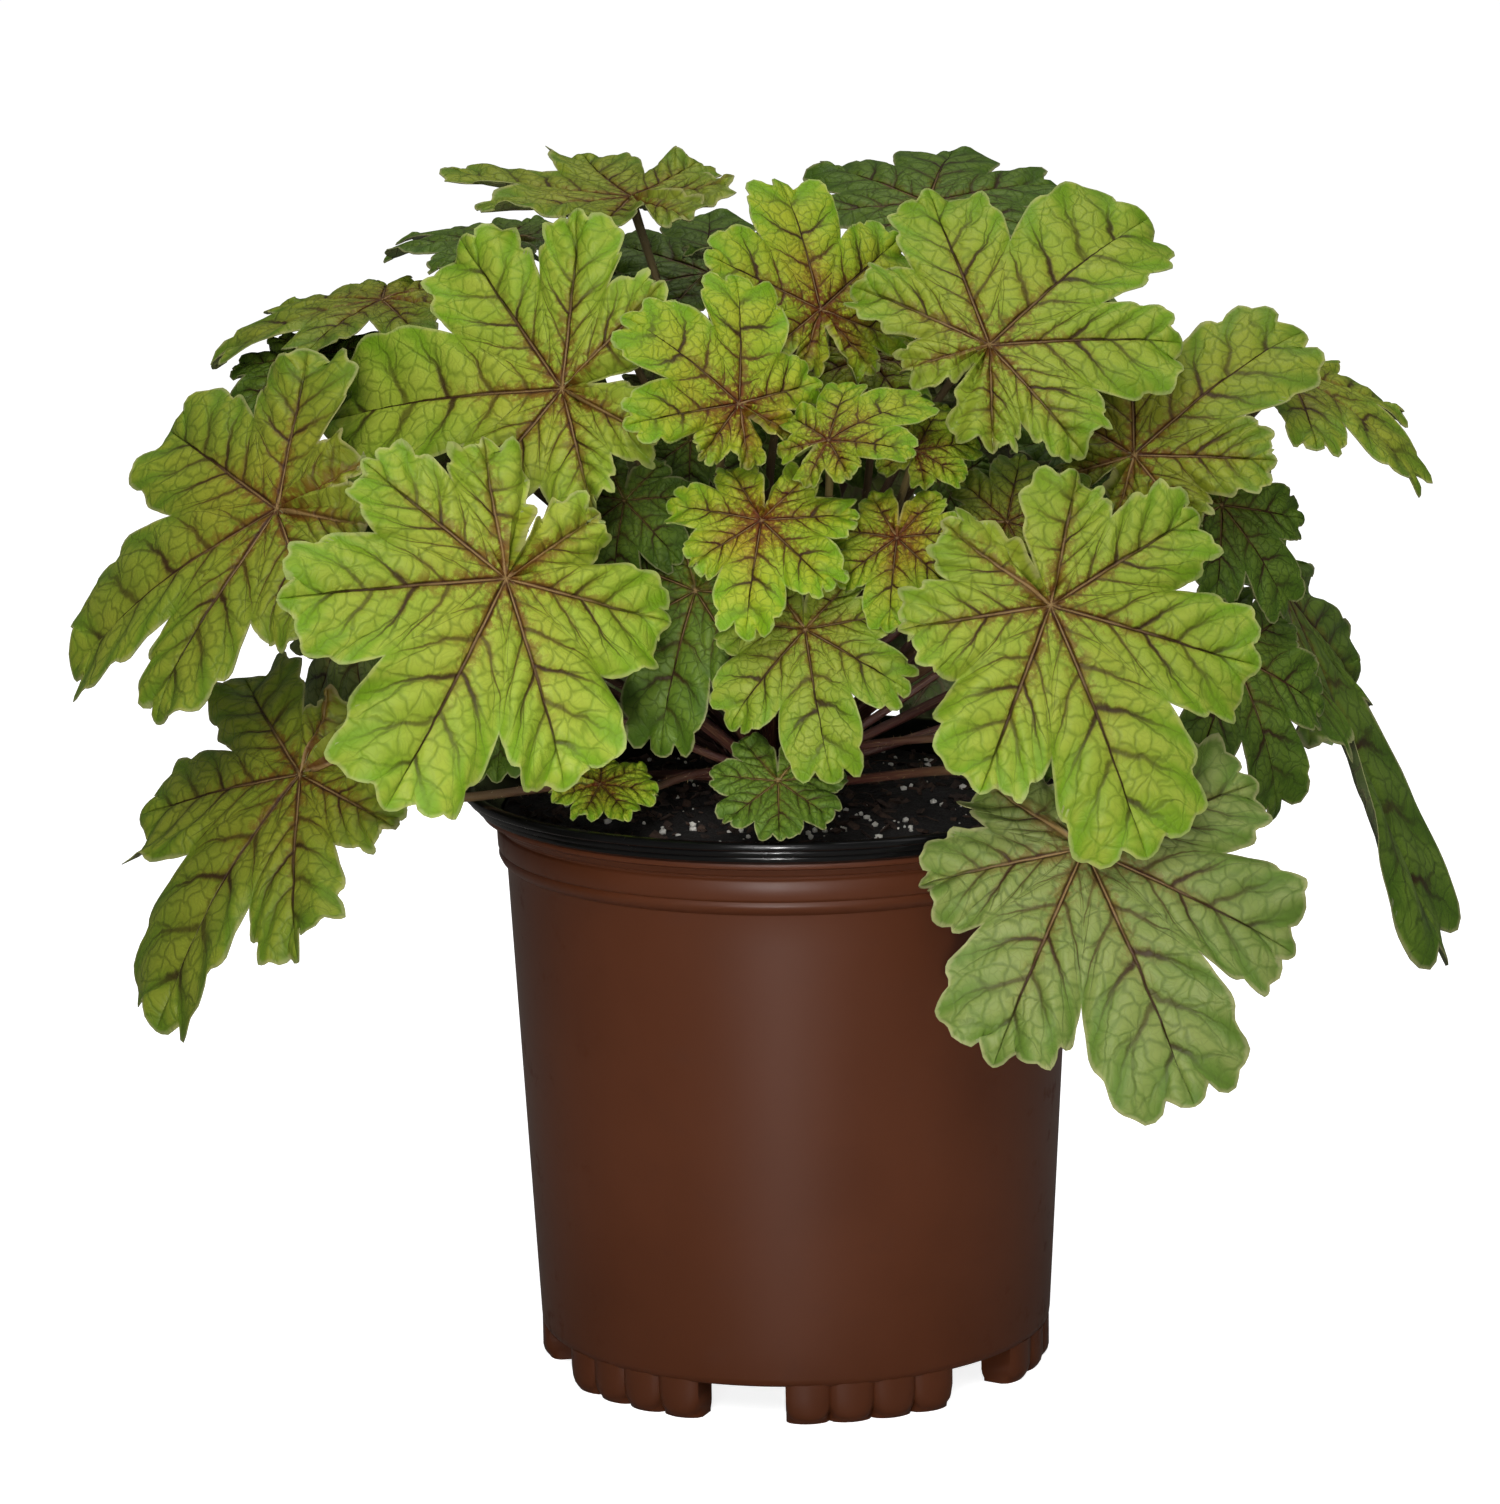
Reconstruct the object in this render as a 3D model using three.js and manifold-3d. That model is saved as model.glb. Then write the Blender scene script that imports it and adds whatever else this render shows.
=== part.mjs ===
// A heucherella growing in a nursery pot: the pot, the soil in it, the plant's crown and its leaves.
// Millimetres, +Z up, origin on the ground at the pot's axis. The plant's front looks towards -Y.
import * as THREE from "three";
import { mergeVertices } from "three/addons/utils/BufferGeometryUtils.js";
import Module from "manifold-3d";

const wasm = await Module();
wasm.setup();

// Pot sizes: a trade pot of about 2.5 quarts, 6.5 inches across the rim
const POT_HEIGHT = 150;
const RIM_RADIUS = 82.5;
const BAND_RADIUS = 73.6;
const WALL_TOP_RADIUS = 71.2;
const WALL_BASE_RADIUS = 64.9;
const WALL_TOP_Z = 130;
const WALL = 1.6;
const FLOOR_Z = 10;
const POT_SEGMENTS = 36;

// The ribbed rim and the groove in the band under it: [radius, depth below the lip]
const RIM_PROFILE = [
  [RIM_RADIUS, 0], [RIM_RADIUS, 1.8], [80.9, 2.1], [80.7, 3.6], [79.1, 3.9], [78.9, 5.6], [77.4, 6],
  [BAND_RADIUS + 0.4, 6.4], [BAND_RADIUS + 0.2, 9.6], [BAND_RADIUS - 0.6, 10.4], [BAND_RADIUS, 11.2],
];
// The mouth inside the rim, which widens to the lip: [radius, depth below the lip]
const MOUTH_PROFILE = [[BAND_RADIUS - WALL + 0.4, 7], [76, 4], [79, 0]];

// Feet round the base, each with upright flutes
const FEET = 6;
const FOOT_SPREAD = 40;
const FIRST_FOOT = -73;
const FOOT_INNER_RADIUS = 55;
const FLUTES = 4;
const FLUTE_DEPTH = 1.5;
const FLUTE_SAMPLES = 3;
const FOOT_BACK_SAMPLES = 4;
const FOOT_SINK = 0.5;
const DRAIN_RADIUS = 5;
const DRAIN_RING = 42;
const DRAIN_SEGMENTS = 16;

// Soil and crown
const GAP = 0.3;
const SOIL_EDGE_Z = 143;
const SOIL_HEAP = 4.5;
const SOIL_BUMP = 1.3;
const SOIL_SEED = 7;
const SOIL_RINGS = [22, 31, 40, 49, 58, 66];
const CROWN = new THREE.Vector3(-4, 3, 148);
const CROWN_RADIUS = 13;
const CROWN_HEIGHT = 15;
const CROWN_DEPTH = 10;
const CROWN_BOTTOM = 0.9 * CROWN_DEPTH;
const CROWN_SEGMENTS = { around: 20, rows: 12 };
const CROWN_HOLE = { radius: CROWN_RADIUS + 2, height: 40, segments: 24 };
const KNOB = { size: 0.05, around: 7, rows: 9, twist: 4 };

// Leaf blades: seven lobes, numbered anticlockwise on the upper face from the right basal lobe, so the
// middle lobe is the fourth. Angles are degrees from the middle lobe; lengths are in spans
const BLADE = 0.7;
const LOBE_ANGLES = [-146, -99, -49, 0, 49, 99, 146];
const LOBE_LENGTHS = [0.52, 0.66, 0.82, 1, 0.82, 0.66, 0.52];
const NOTCH_ANGLES = [-180, -123, -75, -26, 26, 75, 123, 180];
const NOTCH_RADII = [0.12, 0.44, 0.52, 0.58, 0.58, 0.52, 0.44, 0.12];
const NOTCH_LIMIT = 0.8;
const LOBE_FULLNESS = 3.5;
const LOBE_FOLD = 0.045;
const FOLD_WIDTH = 25;
const TOOTH = 0.07;
const TOOTH_POINT = 0.7;
const TOOTH_MEAN = 0.6;
const CUP = 0.15;
const DROOP = 0.1;
const STALK_RADIUS = 1.2;
const STALK_SIDES = 5;
const STALK_RISE = 0.38;
const STALK_AHEAD = 0.25;
const STALK_UNDER = 1.05;

// Where stalks start on the crown: their climb from level in degrees, by rank and by the leaf's height
const ROOT_GAP = 0.45;
const ROOT_SPACING = 0.27;
const ROOT_ROUNDS = 60;
const ROOT_LOWEST = 0.12;
const CLIMB_FIRST = 7;
const CLIMB_RANGE = 49;
const CLIMB_OWN = 0.4;

// Detail of a blade: where its edge is stepped between a lobe's tip and its notch, and its inner rings
const LARGE = { steps: [0.25, 0.5, 0.75], rings: [0.5], stalkSteps: 7 };
const MEDIUM = { steps: [0.5], rings: [0.5], stalkSteps: 6 };
const SMALL = { steps: [0.5], rings: [], stalkSteps: 5 };

// Leaf colours by age and light: new ones in the middle, full-grown ones, weathered and shaded ones
const TONES = {
  young: new THREE.MeshStandardMaterial({ color: 0xa2a336, roughness: 0.5, metalness: 0 }),
  fresh: new THREE.MeshStandardMaterial({ color: 0x85a03c, roughness: 0.52, metalness: 0 }),
  olive: new THREE.MeshStandardMaterial({ color: 0x71803a, roughness: 0.56, metalness: 0 }),
  grey: new THREE.MeshStandardMaterial({ color: 0x6f8352, roughness: 0.6, metalness: 0 }),
  dark: new THREE.MeshStandardMaterial({ color: 0x4a5730, roughness: 0.62, metalness: 0 }),
};

// Lobes' lengths on a young leaf near the soil, which is almost round
const ROUND_LOBES = [1.25, 1.05, 0.88, 0.72, 0.88, 1.05, 1.25];

// One leaf an entry: the point where its stalk meets the blade, the length of its middle lobe, the
// bearing that its upper face leans to, the tilt of that face from level, the turn of the middle lobe
// from straight downhill, and where it differs its cup and droop, its lobes' lengths as shares of the
// usual ones, how full its lobes are, their swing in degrees, its tone and how its stalk leaves the crown
const LEAVES = [
  { name: "front_left", hub: [-66, -90, 216], span: 63, lean: -65, tilt: 68, turn: -35, detail: LARGE,
    lobes: [1, 1, 1, 0.92, 0.95, 1, 0.9], swing: [0, -3, -8, 0, -4, 8, 6] },
  { name: "front_right", hub: [61, -92, 208], span: 62, lean: -78, tilt: 64, turn: 18, detail: LARGE,
    lobes: [0.95, 0.85, 0.9, 0.97, 1, 1.1, 1.05], swing: [-4, -4, 5, 0, 5, 2, -3] },
  { name: "upper_left", hub: [-53, -50, 255], span: 62, lean: -116, tilt: 62, turn: -78, detail: LARGE,
    cup: 0.08, lobes: [1.05, 1.1, 1.05, 1.12, 0.7, 0.75, 0.9], swing: [8, 5, -8, -7, -4, 4, 0] },
  { name: "upper_right", hub: [49, -50, 264], span: 54, lean: -86, tilt: 54, turn: 140, detail: LARGE,
    lobes: [0.95, 0.95, 1.05, 1.12, 1.02, 1, 0.75], swing: [4, -4, 4, -5, 5, -1, -2] },
  { name: "left", hub: [-122, -50, 227], span: 65, lean: -130, tilt: 54, turn: -62,
    detail: LARGE, tone: "olive",
    cup: 0.1, lobes: [0.7, 1.05, 1.1, 1.12, 1.06, 0.9, 0.85], swing: [-20, 0, 0, 7, -5, 6, 4] },
  { name: "lower_left", hub: [-118, -55, 163], span: 63, lean: -135, tilt: 46, turn: -20,
    detail: LARGE, tone: "olive",
    lobes: [0.7, 1.3, 1.1, 1.06, 0.97, 0.85, 0.9], swing: [-3, 0, -6, 6, 2, 0, 0] },
  { name: "lower_right", hub: [69, -88, 149], span: 64, lean: -92, tilt: 55, turn: 19,
    detail: LARGE, tone: "grey",
    cup: 0.2, ahead: 0.85, full: 5, lobes: [0.9, 0.9, 1, 0.97, 1, 1.05, 1],
    swing: [0, 0, 6, 4, -3, -3, 0] },
  { name: "top_left", hub: [-37, 8, 295], span: 48, lean: -90, tilt: 9, turn: -112,
    detail: LARGE, tone: "olive",
    cup: -0.05, droop: 0 },
  { name: "right_folded", hub: [85, -30, 234], span: 52, lean: -110, tilt: 56, turn: 142,
    detail: LARGE, tone: "olive", lobes: [0.6, 0.75, 0.78, 1, 0.85, 0.9, 0.7] },
  { name: "far_right_rolled", hub: [126, 13, 248], span: 42, lean: -37, tilt: 20, turn: 8,
    detail: MEDIUM, tone: "olive",
    cup: 0.2 },
  { name: "far_right_hanging", hub: [130, 60, 185], span: 84, lean: -12, tilt: 64, turn: 0,
    detail: LARGE, tone: "dark",
    cup: 0.03, droop: 0, lobes: [0.8, 0.75, 0.75, 1.25, 0.75, 0.75, 0.8] },
  { name: "centre", hub: [-6, -72, 226], span: 32, lean: -100, tilt: 47, turn: -3,
    detail: MEDIUM, tone: "young",
    cup: 0.08, lobes: [1.1, 1.1, 0.75, 0.9, 0.95, 1.05, 1.05] },
  { name: "centre_upper", hub: [-11, -66, 253], span: 34, lean: -60, tilt: 68, turn: -148,
    detail: MEDIUM, tone: "young",
    lobes: [0.9, 1.05, 1.2, 0.95, 1, 0.75, 0.85], swing: [-8, -14, 0, 7, 12, 2, 0] },
  { name: "centre_top", hub: [9, -32, 271], span: 38, lean: -55, tilt: 62, turn: 178,
    detail: MEDIUM, tone: "young",
    cup: 0.06, lobes: [1, 1, 1.1, 0.95, 1, 0.85, 0.9], swing: [0, -14, -10, -5, 10, 20, 0] },
  { name: "centre_right", hub: [26, -70, 221], span: 26, lean: -106, tilt: 52, turn: 1,
    detail: SMALL, tone: "young",
    lobes: [1.1, 0.95, 0.8, 0.85, 0.9, 1.1, 1.1] },
  { name: "centre_low", hub: [4, -74, 200], span: 34, lean: -106, tilt: 57, turn: 8,
    detail: MEDIUM, tone: "fresh",
    cup: 0.22, swing: [-2, -6, 4, 6, 7, -2, -8] },
  { name: "centre_folded", hub: [10, -74, 245], span: 25, lean: -118, tilt: 40, turn: 141,
    detail: SMALL, tone: "young",
    lobes: [1, 0.8, 1, 1.05, 1.05, 0.95, 0.95] },
  { name: "inner_red", hub: [53, -49, 221], span: 27, lean: -90, tilt: 45, turn: 120,
    detail: MEDIUM, tone: "olive" },
  { name: "right_dark", hub: [108, -8, 218], span: 31, lean: -59, tilt: 60, turn: 30,
    detail: MEDIUM, tone: "dark" },
  { name: "right_low", hub: [111, -5, 180], span: 40, lean: -50, tilt: 62, turn: 10,
    detail: MEDIUM, tone: "dark" },
  { name: "middle_left", hub: [-22, -52, 206], span: 38, lean: -110, tilt: 62, turn: -10,
    detail: MEDIUM, tone: "dark" },
  { name: "inner_top", hub: [21, -8, 256], span: 28, lean: -90, tilt: 35, turn: -20,
    detail: SMALL, tone: "young" },
  { name: "inner_right", hub: [76, 0, 235], span: 32, lean: -60, tilt: 40, turn: 10,
    detail: SMALL, tone: "dark" },
  { name: "inner_mid_right", hub: [42, -10, 226], span: 22, lean: -50, tilt: 60, turn: 10,
    detail: SMALL, tone: "dark" },
  { name: "inner_left", hub: [-39, -38, 226], span: 26, lean: -110, tilt: 55, turn: 0,
    detail: SMALL, tone: "dark",
    rootTurn: 20, via: [4, -6, -6] },
  { name: "inner_middle", hub: [-23, -14, 237], span: 22, lean: -95, tilt: 42, turn: 50,
    detail: SMALL, tone: "dark" },
  { name: "inner_back", hub: [5, 27, 235], span: 27, lean: -90, tilt: 60, turn: 5,
    detail: SMALL, tone: "dark" },
  { name: "inner_green", hub: [31, -58, 240], span: 20, lean: -80, tilt: 45, turn: 150,
    detail: SMALL, tone: "young" },
  { name: "left_behind", hub: [-119, 9, 256], span: 30, lean: -120, tilt: 30, turn: 20,
    detail: SMALL, tone: "dark" },
  { name: "left_back", hub: [-100, 19, 269], span: 43, lean: -120, tilt: 8, turn: -50,
    detail: MEDIUM, tone: "olive" },
  { name: "left_top_back", hub: [-69, 47, 281], span: 38, lean: -90, tilt: 10, turn: -140,
    detail: MEDIUM, tone: "dark",
    rootTurn: -25 },
  { name: "left_under", hub: [-108, 2, 196], span: 46, lean: -150, tilt: 70, turn: 30,
    detail: SMALL, tone: "grey" },
  { name: "soil_left", hub: [-67, -34, 183], span: 26, lean: -110, tilt: 50, turn: 0,
    detail: SMALL, tone: "dark" },
  { name: "soil_round", hub: [-3, -72, 163], span: 23, lean: -90, tilt: 42, turn: 0,
    detail: SMALL, tone: "dark",
    cup: 0.05, droop: 0, ahead: 0.7, full: 5, lobes: ROUND_LOBES },
  { name: "soil_yellow", hub: [-46, -48, 158], span: 19, lean: -90, tilt: 22, turn: 80,
    detail: SMALL, tone: "young",
    full: 5, lobes: ROUND_LOBES, via: [0, 0, 8] },
  { name: "under_right", hub: [62, -48, 178], span: 25, lean: -80, tilt: 30, turn: 0,
    detail: SMALL, tone: "dark",
    rootClimb: 18 },
  { name: "back_left_fill", hub: [-48, 70, 264], span: 36, lean: 118, tilt: 38, turn: 10,
    detail: MEDIUM, tone: "grey" },
  { name: "back_right_fill", hub: [68, 46, 271], span: 37, lean: 30, tilt: 34, turn: -15,
    detail: MEDIUM, tone: "grey" },
  { name: "top_middle", hub: [-6, 4, 282], span: 27, lean: 60, tilt: 6, turn: 20,
    detail: MEDIUM, tone: "dark" },
  { name: "right_fill", hub: [98, 43, 214], span: 34, lean: 12, tilt: 48, turn: 10,
    detail: MEDIUM, tone: "grey" },
  { name: "left_fill", hub: [-110, 34, 216], span: 40, lean: 164, tilt: 52, turn: -10,
    detail: MEDIUM, tone: "grey" },
  { name: "dark_top_left", hub: [-18, 40, 272], span: 44, lean: -90, tilt: 25, turn: 180,
    detail: MEDIUM, tone: "dark" },
  { name: "dark_top_right", hub: [38, 50, 288], span: 48, lean: -90, tilt: 22, turn: 170,
    detail: MEDIUM, tone: "dark",
    rootTurn: -20 },
];

// Leaves behind the plant, in tiers, with the sizes and lean of those in front
const BACK_TIERS = [
  { tag: "back_low", count: 4, from: 56, to: 150, reach: 86, height: 178, stagger: 14, span: 53, tilt: 62,
    detail: MEDIUM, tone: "dark" },
  { tag: "back_mid", count: 4, from: 44, to: 137, reach: 80, height: 232, stagger: 13, span: 48, tilt: 48,
    detail: LARGE, tone: "olive" },
];

// How far leaves in a tier stray, in millimetres and degrees
const SCATTER = { bearing: 3, place: 2, span: 4, lean: 6, tilt: 3, turn: 20 };
const BACK_SEED = 23;

const rad = THREE.MathUtils.degToRad;

// Seeded random numbers from 0 to 1, the same at each run
const DRAW = { multiply: 1664525, add: 1013904223, modulus: 2 ** 32 };

function makeRandom(seed) {
  let state = seed;
  return () => {
    state = (state * DRAW.multiply + DRAW.add) % DRAW.modulus;
    return state / DRAW.modulus;
  };
}

function bare(geometry) {
  geometry.deleteAttribute("normal");
  geometry.deleteAttribute("uv");
  return mergeVertices(geometry, 1e-4);
}

function toSolid(geometry) {
  const merged = bare(geometry);
  return new wasm.Manifold(new wasm.Mesh({
    numProp: 3,
    vertProperties: new Float32Array(merged.attributes.position.array),
    triVerts: new Uint32Array(merged.index.array),
  }));
}

function toGeometry(solid) {
  const mesh = solid.getMesh();
  const geometry = new THREE.BufferGeometry();
  geometry.setAttribute("position", new THREE.BufferAttribute(new Float32Array(mesh.vertProperties), 3));
  geometry.setIndex(new THREE.BufferAttribute(new Uint32Array(mesh.triVerts), 1));
  geometry.computeVertexNormals();
  return geometry;
}

function lathe(points, segments = POT_SEGMENTS) {
  const profile = points.map(([radius, z]) => new THREE.Vector2(radius, z));
  const geometry = new THREE.LatheGeometry(profile, segments);
  geometry.rotateX(Math.PI / 2);
  return geometry;
}

function named(name, geometry, material) {
  const mesh = new THREE.Mesh(geometry, material);
  mesh.name = name;
  return mesh;
}

// Radius of the pot's outer wall below the band
function wallRadius(z) {
  return WALL_BASE_RADIUS + (WALL_TOP_RADIUS - WALL_BASE_RADIUS) * (z - FLOOR_Z) / (WALL_TOP_Z - FLOOR_Z);
}

function belowLip([radius, depth]) {
  return [radius, POT_HEIGHT - depth];
}

// The pot's inner face, from the floor up: [radius, z]
function potInside() {
  return [
    [wallRadius(FLOOR_Z + WALL) - WALL, FLOOR_Z + WALL],
    [WALL_TOP_RADIUS - WALL, WALL_TOP_Z],
    [BAND_RADIUS - WALL, WALL_TOP_Z + 3],
    ...MOUTH_PROFILE.map(belowLip),
  ];
}

// The pot's shell, as one turned profile
function potShell() {
  const inside = potInside();
  const outside = [
    ...RIM_PROFILE.map(belowLip),
    [BAND_RADIUS - 0.3, WALL_TOP_Z + 2],
    [WALL_TOP_RADIUS, WALL_TOP_Z],
    [WALL_BASE_RADIUS, FLOOR_Z],
  ];
  return toSolid(lathe([[0, FLOOR_Z + WALL], ...inside, ...outside, [0, FLOOR_Z]].reverse()));
}

// One foot: a block under the floor's edge with a fluted outer face, standing flat on the ground
function foot(bearing) {
  const outline = new THREE.Shape();
  const samples = FLUTES * FLUTE_SAMPLES;
  for (let i = 0; i <= samples; i++) {
    const angle = rad(bearing - FOOT_SPREAD / 2 + FOOT_SPREAD * i / samples);
    const flute = Math.abs(Math.sin(Math.PI * FLUTES * i / samples));
    const radius = WALL_BASE_RADIUS - FLUTE_DEPTH + FLUTE_DEPTH * Math.sqrt(flute);
    const point = [radius * Math.cos(angle), radius * Math.sin(angle)];
    if (i === 0) outline.moveTo(...point);
    else outline.lineTo(...point);
  }
  for (let i = FOOT_BACK_SAMPLES; i >= 0; i--) {
    const angle = rad(bearing - FOOT_SPREAD / 2 + FOOT_SPREAD * i / FOOT_BACK_SAMPLES);
    outline.lineTo(FOOT_INNER_RADIUS * Math.cos(angle), FOOT_INNER_RADIUS * Math.sin(angle));
  }
  outline.closePath();
  return new THREE.ExtrudeGeometry(outline, { depth: FLOOR_Z + FOOT_SINK, bevelEnabled: false });
}

function buildPot() {
  let pot = potShell();
  for (let k = 0; k < FEET; k++) {
    const bearing = FIRST_FOOT + k * 360 / FEET;
    pot = pot.add(toSolid(foot(bearing)));
    const hole = new THREE.CylinderGeometry(DRAIN_RADIUS, DRAIN_RADIUS, 3 * WALL, DRAIN_SEGMENTS);
    hole.rotateX(Math.PI / 2);
    const side = rad(bearing + 180 / FEET);
    hole.translate(DRAIN_RING * Math.cos(side), DRAIN_RING * Math.sin(side), FLOOR_Z + WALL / 2);
    pot = pot.subtract(toSolid(hole));
  }
  const plastic = new THREE.MeshStandardMaterial({ color: 0x4a2a20, roughness: 0.38, metalness: 0 });
  return named("pot", toGeometry(pot), plastic);
}

// The soil's surface: heaped towards the crown, with seeded lumps
function soilHeight(radius, random) {
  const rise = SOIL_HEAP * (1 - (radius / BAND_RADIUS) ** 2);
  return SOIL_EDGE_Z + rise + SOIL_BUMP * (2 * random() - 1);
}

function buildSoil() {
  const random = makeRandom(SOIL_SEED);
  const around = POT_SEGMENTS;
  const radii = [CROWN_RADIUS + GAP, ...SOIL_RINGS, BAND_RADIUS - WALL - GAP];
  const inside = potInside().slice(0, 3).map(([radius, z]) => [radius - GAP, z + GAP]);
  const positions = [];
  const ring = (radius, heightAt) => {
    for (let i = 0; i < around; i++) {
      const angle = 2 * Math.PI * i / around;
      positions.push(radius * Math.cos(angle), radius * Math.sin(angle), heightAt());
    }
  };
  for (const radius of radii) ring(radius, () => soilHeight(radius, random));
  for (const [radius, z] of inside.slice().reverse()) ring(radius, () => z);
  const rings = positions.length / 3 / around;
  const top = positions.length / 3;
  positions.push(0, 0, SOIL_EDGE_Z + SOIL_HEAP, 0, 0, inside[0][1]);
  const index = [];
  for (let r = 0; r < rings - 1; r++) {
    for (let i = 0; i < around; i++) {
      const j = (i + 1) % around;
      const a = r * around;
      const b = (r + 1) * around;
      index.push(a + i, b + i, b + j, a + i, b + j, a + j);
    }
  }
  for (let i = 0; i < around; i++) {
    const j = (i + 1) % around;
    index.push(top, i, j, top + 1, (rings - 1) * around + j, (rings - 1) * around + i);
  }
  const geometry = new THREE.BufferGeometry();
  geometry.setAttribute("position", new THREE.Float32BufferAttribute(positions, 3));
  geometry.setIndex(index);
  const { radius: wide, height: tall, segments } = CROWN_HOLE;
  const hole = new THREE.CylinderGeometry(wide, wide, tall, segments);
  hole.rotateX(Math.PI / 2);
  hole.translate(CROWN.x, CROWN.y, CROWN.z - CROWN_DEPTH + tall / 2 - GAP);
  const soil = toSolid(geometry).subtract(toSolid(hole));
  const dark = new THREE.MeshStandardMaterial({ color: 0x17120e, roughness: 0.95, metalness: 0 });
  return named("potting_soil", toGeometry(soil), dark);
}

// How far the crown's surface is from its middle in a direction, with knobs where old leaves fell
function crownReach(direction) {
  const { x, y, z } = direction;
  const around = Math.atan2(y, x);
  const waves = Math.sin(KNOB.around * around) + Math.sin(KNOB.rows * z + KNOB.twist * around);
  const knobs = KNOB.size * Math.hypot(x, y) * waves;
  const flat = Math.hypot(Math.hypot(x, y) / CROWN_RADIUS, z / (z > 0 ? CROWN_HEIGHT : CROWN_DEPTH));
  return (1 + knobs) / flat;
}

function buildCrown() {
  const geometry = bare(new THREE.SphereGeometry(1, CROWN_SEGMENTS.around, CROWN_SEGMENTS.rows));
  const position = geometry.attributes.position;
  const point = new THREE.Vector3();
  for (let i = 0; i < position.count; i++) {
    point.fromBufferAttribute(position, i).normalize();
    point.set(point.x, -point.z, point.y);
    point.multiplyScalar(crownReach(point)).add(CROWN);
    point.z = Math.max(point.z, CROWN.z - CROWN_BOTTOM);
    position.setXYZ(i, point.x, point.y, point.z);
  }
  const woody = new THREE.MeshStandardMaterial({ color: 0x5a2c22, roughness: 0.8, metalness: 0 });
  return named("crown", toGeometry(toSolid(geometry)), woody);
}

// A leaf's own directions: forward along the middle lobe, left, and out of the upper face
function leafFrame(leaf) {
  const lean = rad(leaf.lean);
  const tilt = rad(leaf.tilt);
  const turn = rad(leaf.turn);
  const outward = new THREE.Vector3(Math.cos(lean), Math.sin(lean), 0);
  const up = new THREE.Vector3(0, 0, 1);
  const face = outward.clone().multiplyScalar(Math.sin(tilt)).addScaledVector(up, Math.cos(tilt));
  const down = outward.clone().multiplyScalar(Math.cos(tilt)).addScaledVector(up, -Math.sin(tilt));
  const side = new THREE.Vector3().crossVectors(face, down);
  const forward = down.multiplyScalar(Math.cos(turn)).addScaledVector(side, Math.sin(turn));
  const left = new THREE.Vector3().crossVectors(face, forward);
  return { forward, left, face };
}

function lobeSwing(leaf, lobe) {
  return leaf.swing?.[lobe] ?? 0;
}

function lobeLength(leaf, lobe) {
  return LOBE_LENGTHS[lobe] * (leaf.lobes?.[lobe] ?? 1);
}

// Angle of a lobe's axis in the blade, and of the notch before it
function lobeAxis(leaf, lobe) {
  return LOBE_ANGLES[lobe] + lobeSwing(leaf, lobe);
}

function notchAngle(leaf, notch) {
  const atHub = notch % LOBE_ANGLES.length === 0;
  const swing = atHub ? 0 : (lobeSwing(leaf, notch - 1) + lobeSwing(leaf, notch)) / 2;
  return NOTCH_ANGLES[notch] + swing;
}

// Distance from hub to edge in a lobe, at a share of the way from its axis to the notch beside it
function edgeRadius(lobe, side, share, leaf) {
  const length = lobeLength(leaf, lobe);
  const notch = Math.min(NOTCH_RADII[lobe + (side > 0 ? 1 : 0)], NOTCH_LIMIT * length);
  const shape = 1 - share ** (leaf.full ?? LOBE_FULLNESS);
  const tooth = Math.abs(Math.cos(2 * Math.PI * share)) ** TOOTH_POINT - TOOTH_MEAN;
  return notch + (length - notch) * shape + TOOTH * length * tooth * (1 - share ** 4);
}

// The edge as [angle, radius] pairs, once round from the gap behind the hub
function edgePoints(leaf, steps) {
  const points = [];
  for (let lobe = 0; lobe < LOBE_ANGLES.length; lobe++) {
    const axis = lobeAxis(leaf, lobe);
    for (const side of [-1, 1]) {
      const notch = notchAngle(leaf, lobe + (side > 0 ? 1 : 0));
      const shares = side < 0 ? [1, ...steps.slice().reverse()] : [0, ...steps];
      for (const share of shares) {
        points.push([axis + (notch - axis) * share, edgeRadius(lobe, side, share, leaf)]);
      }
    }
  }
  return points;
}

// Inner rings of points, which let the blade bend between hub and edge
function innerRing(leaf, part) {
  const ring = [];
  for (let lobe = 0; lobe < LOBE_ANGLES.length; lobe++) {
    const notch = NOTCH_RADII[lobe] * (lobe === 0 ? 0.5 : 0.3 + 0.6 * part);
    ring.push([notchAngle(leaf, lobe), notch]);
    ring.push([lobeAxis(leaf, lobe), lobeLength(leaf, lobe) * part]);
  }
  return ring;
}

// Triangles between two rings of points that run the same way round
function stitch(inner, outer, innerStart, outerStart, index) {
  let i = 0;
  let j = 0;
  const angle = (ring, k) => ring[k % ring.length][0] + 360 * Math.floor(k / ring.length);
  while (i < inner.length || j < outer.length) {
    const a = innerStart + i % inner.length;
    const b = outerStart + j % outer.length;
    const stepOuter = i >= inner.length || (j < outer.length && angle(outer, j + 1) <= angle(inner, i + 1));
    if (stepOuter) {
      index.push(a, b, outerStart + (j + 1) % outer.length);
      j++;
    } else {
      index.push(a, b, innerStart + (i + 1) % inner.length);
      i++;
    }
  }
}

// Height of the blade above its plane, in spans: it cups down, droops at the tip and folds up either
// side of each lobe's axis
function bladeHeight(angle, radius, leaf) {
  const x = radius * Math.cos(rad(angle));
  const cup = (leaf.cup ?? CUP) * radius * radius;
  const droop = (leaf.droop ?? DROOP) * Math.max(0, x) ** 3;
  let fold = 1;
  for (let lobe = 0; lobe < LOBE_ANGLES.length; lobe++) {
    fold = Math.min(fold, Math.abs(angle - lobeAxis(leaf, lobe)) / FOLD_WIDTH);
  }
  return LOBE_FOLD * radius * fold - cup - droop;
}

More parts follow.
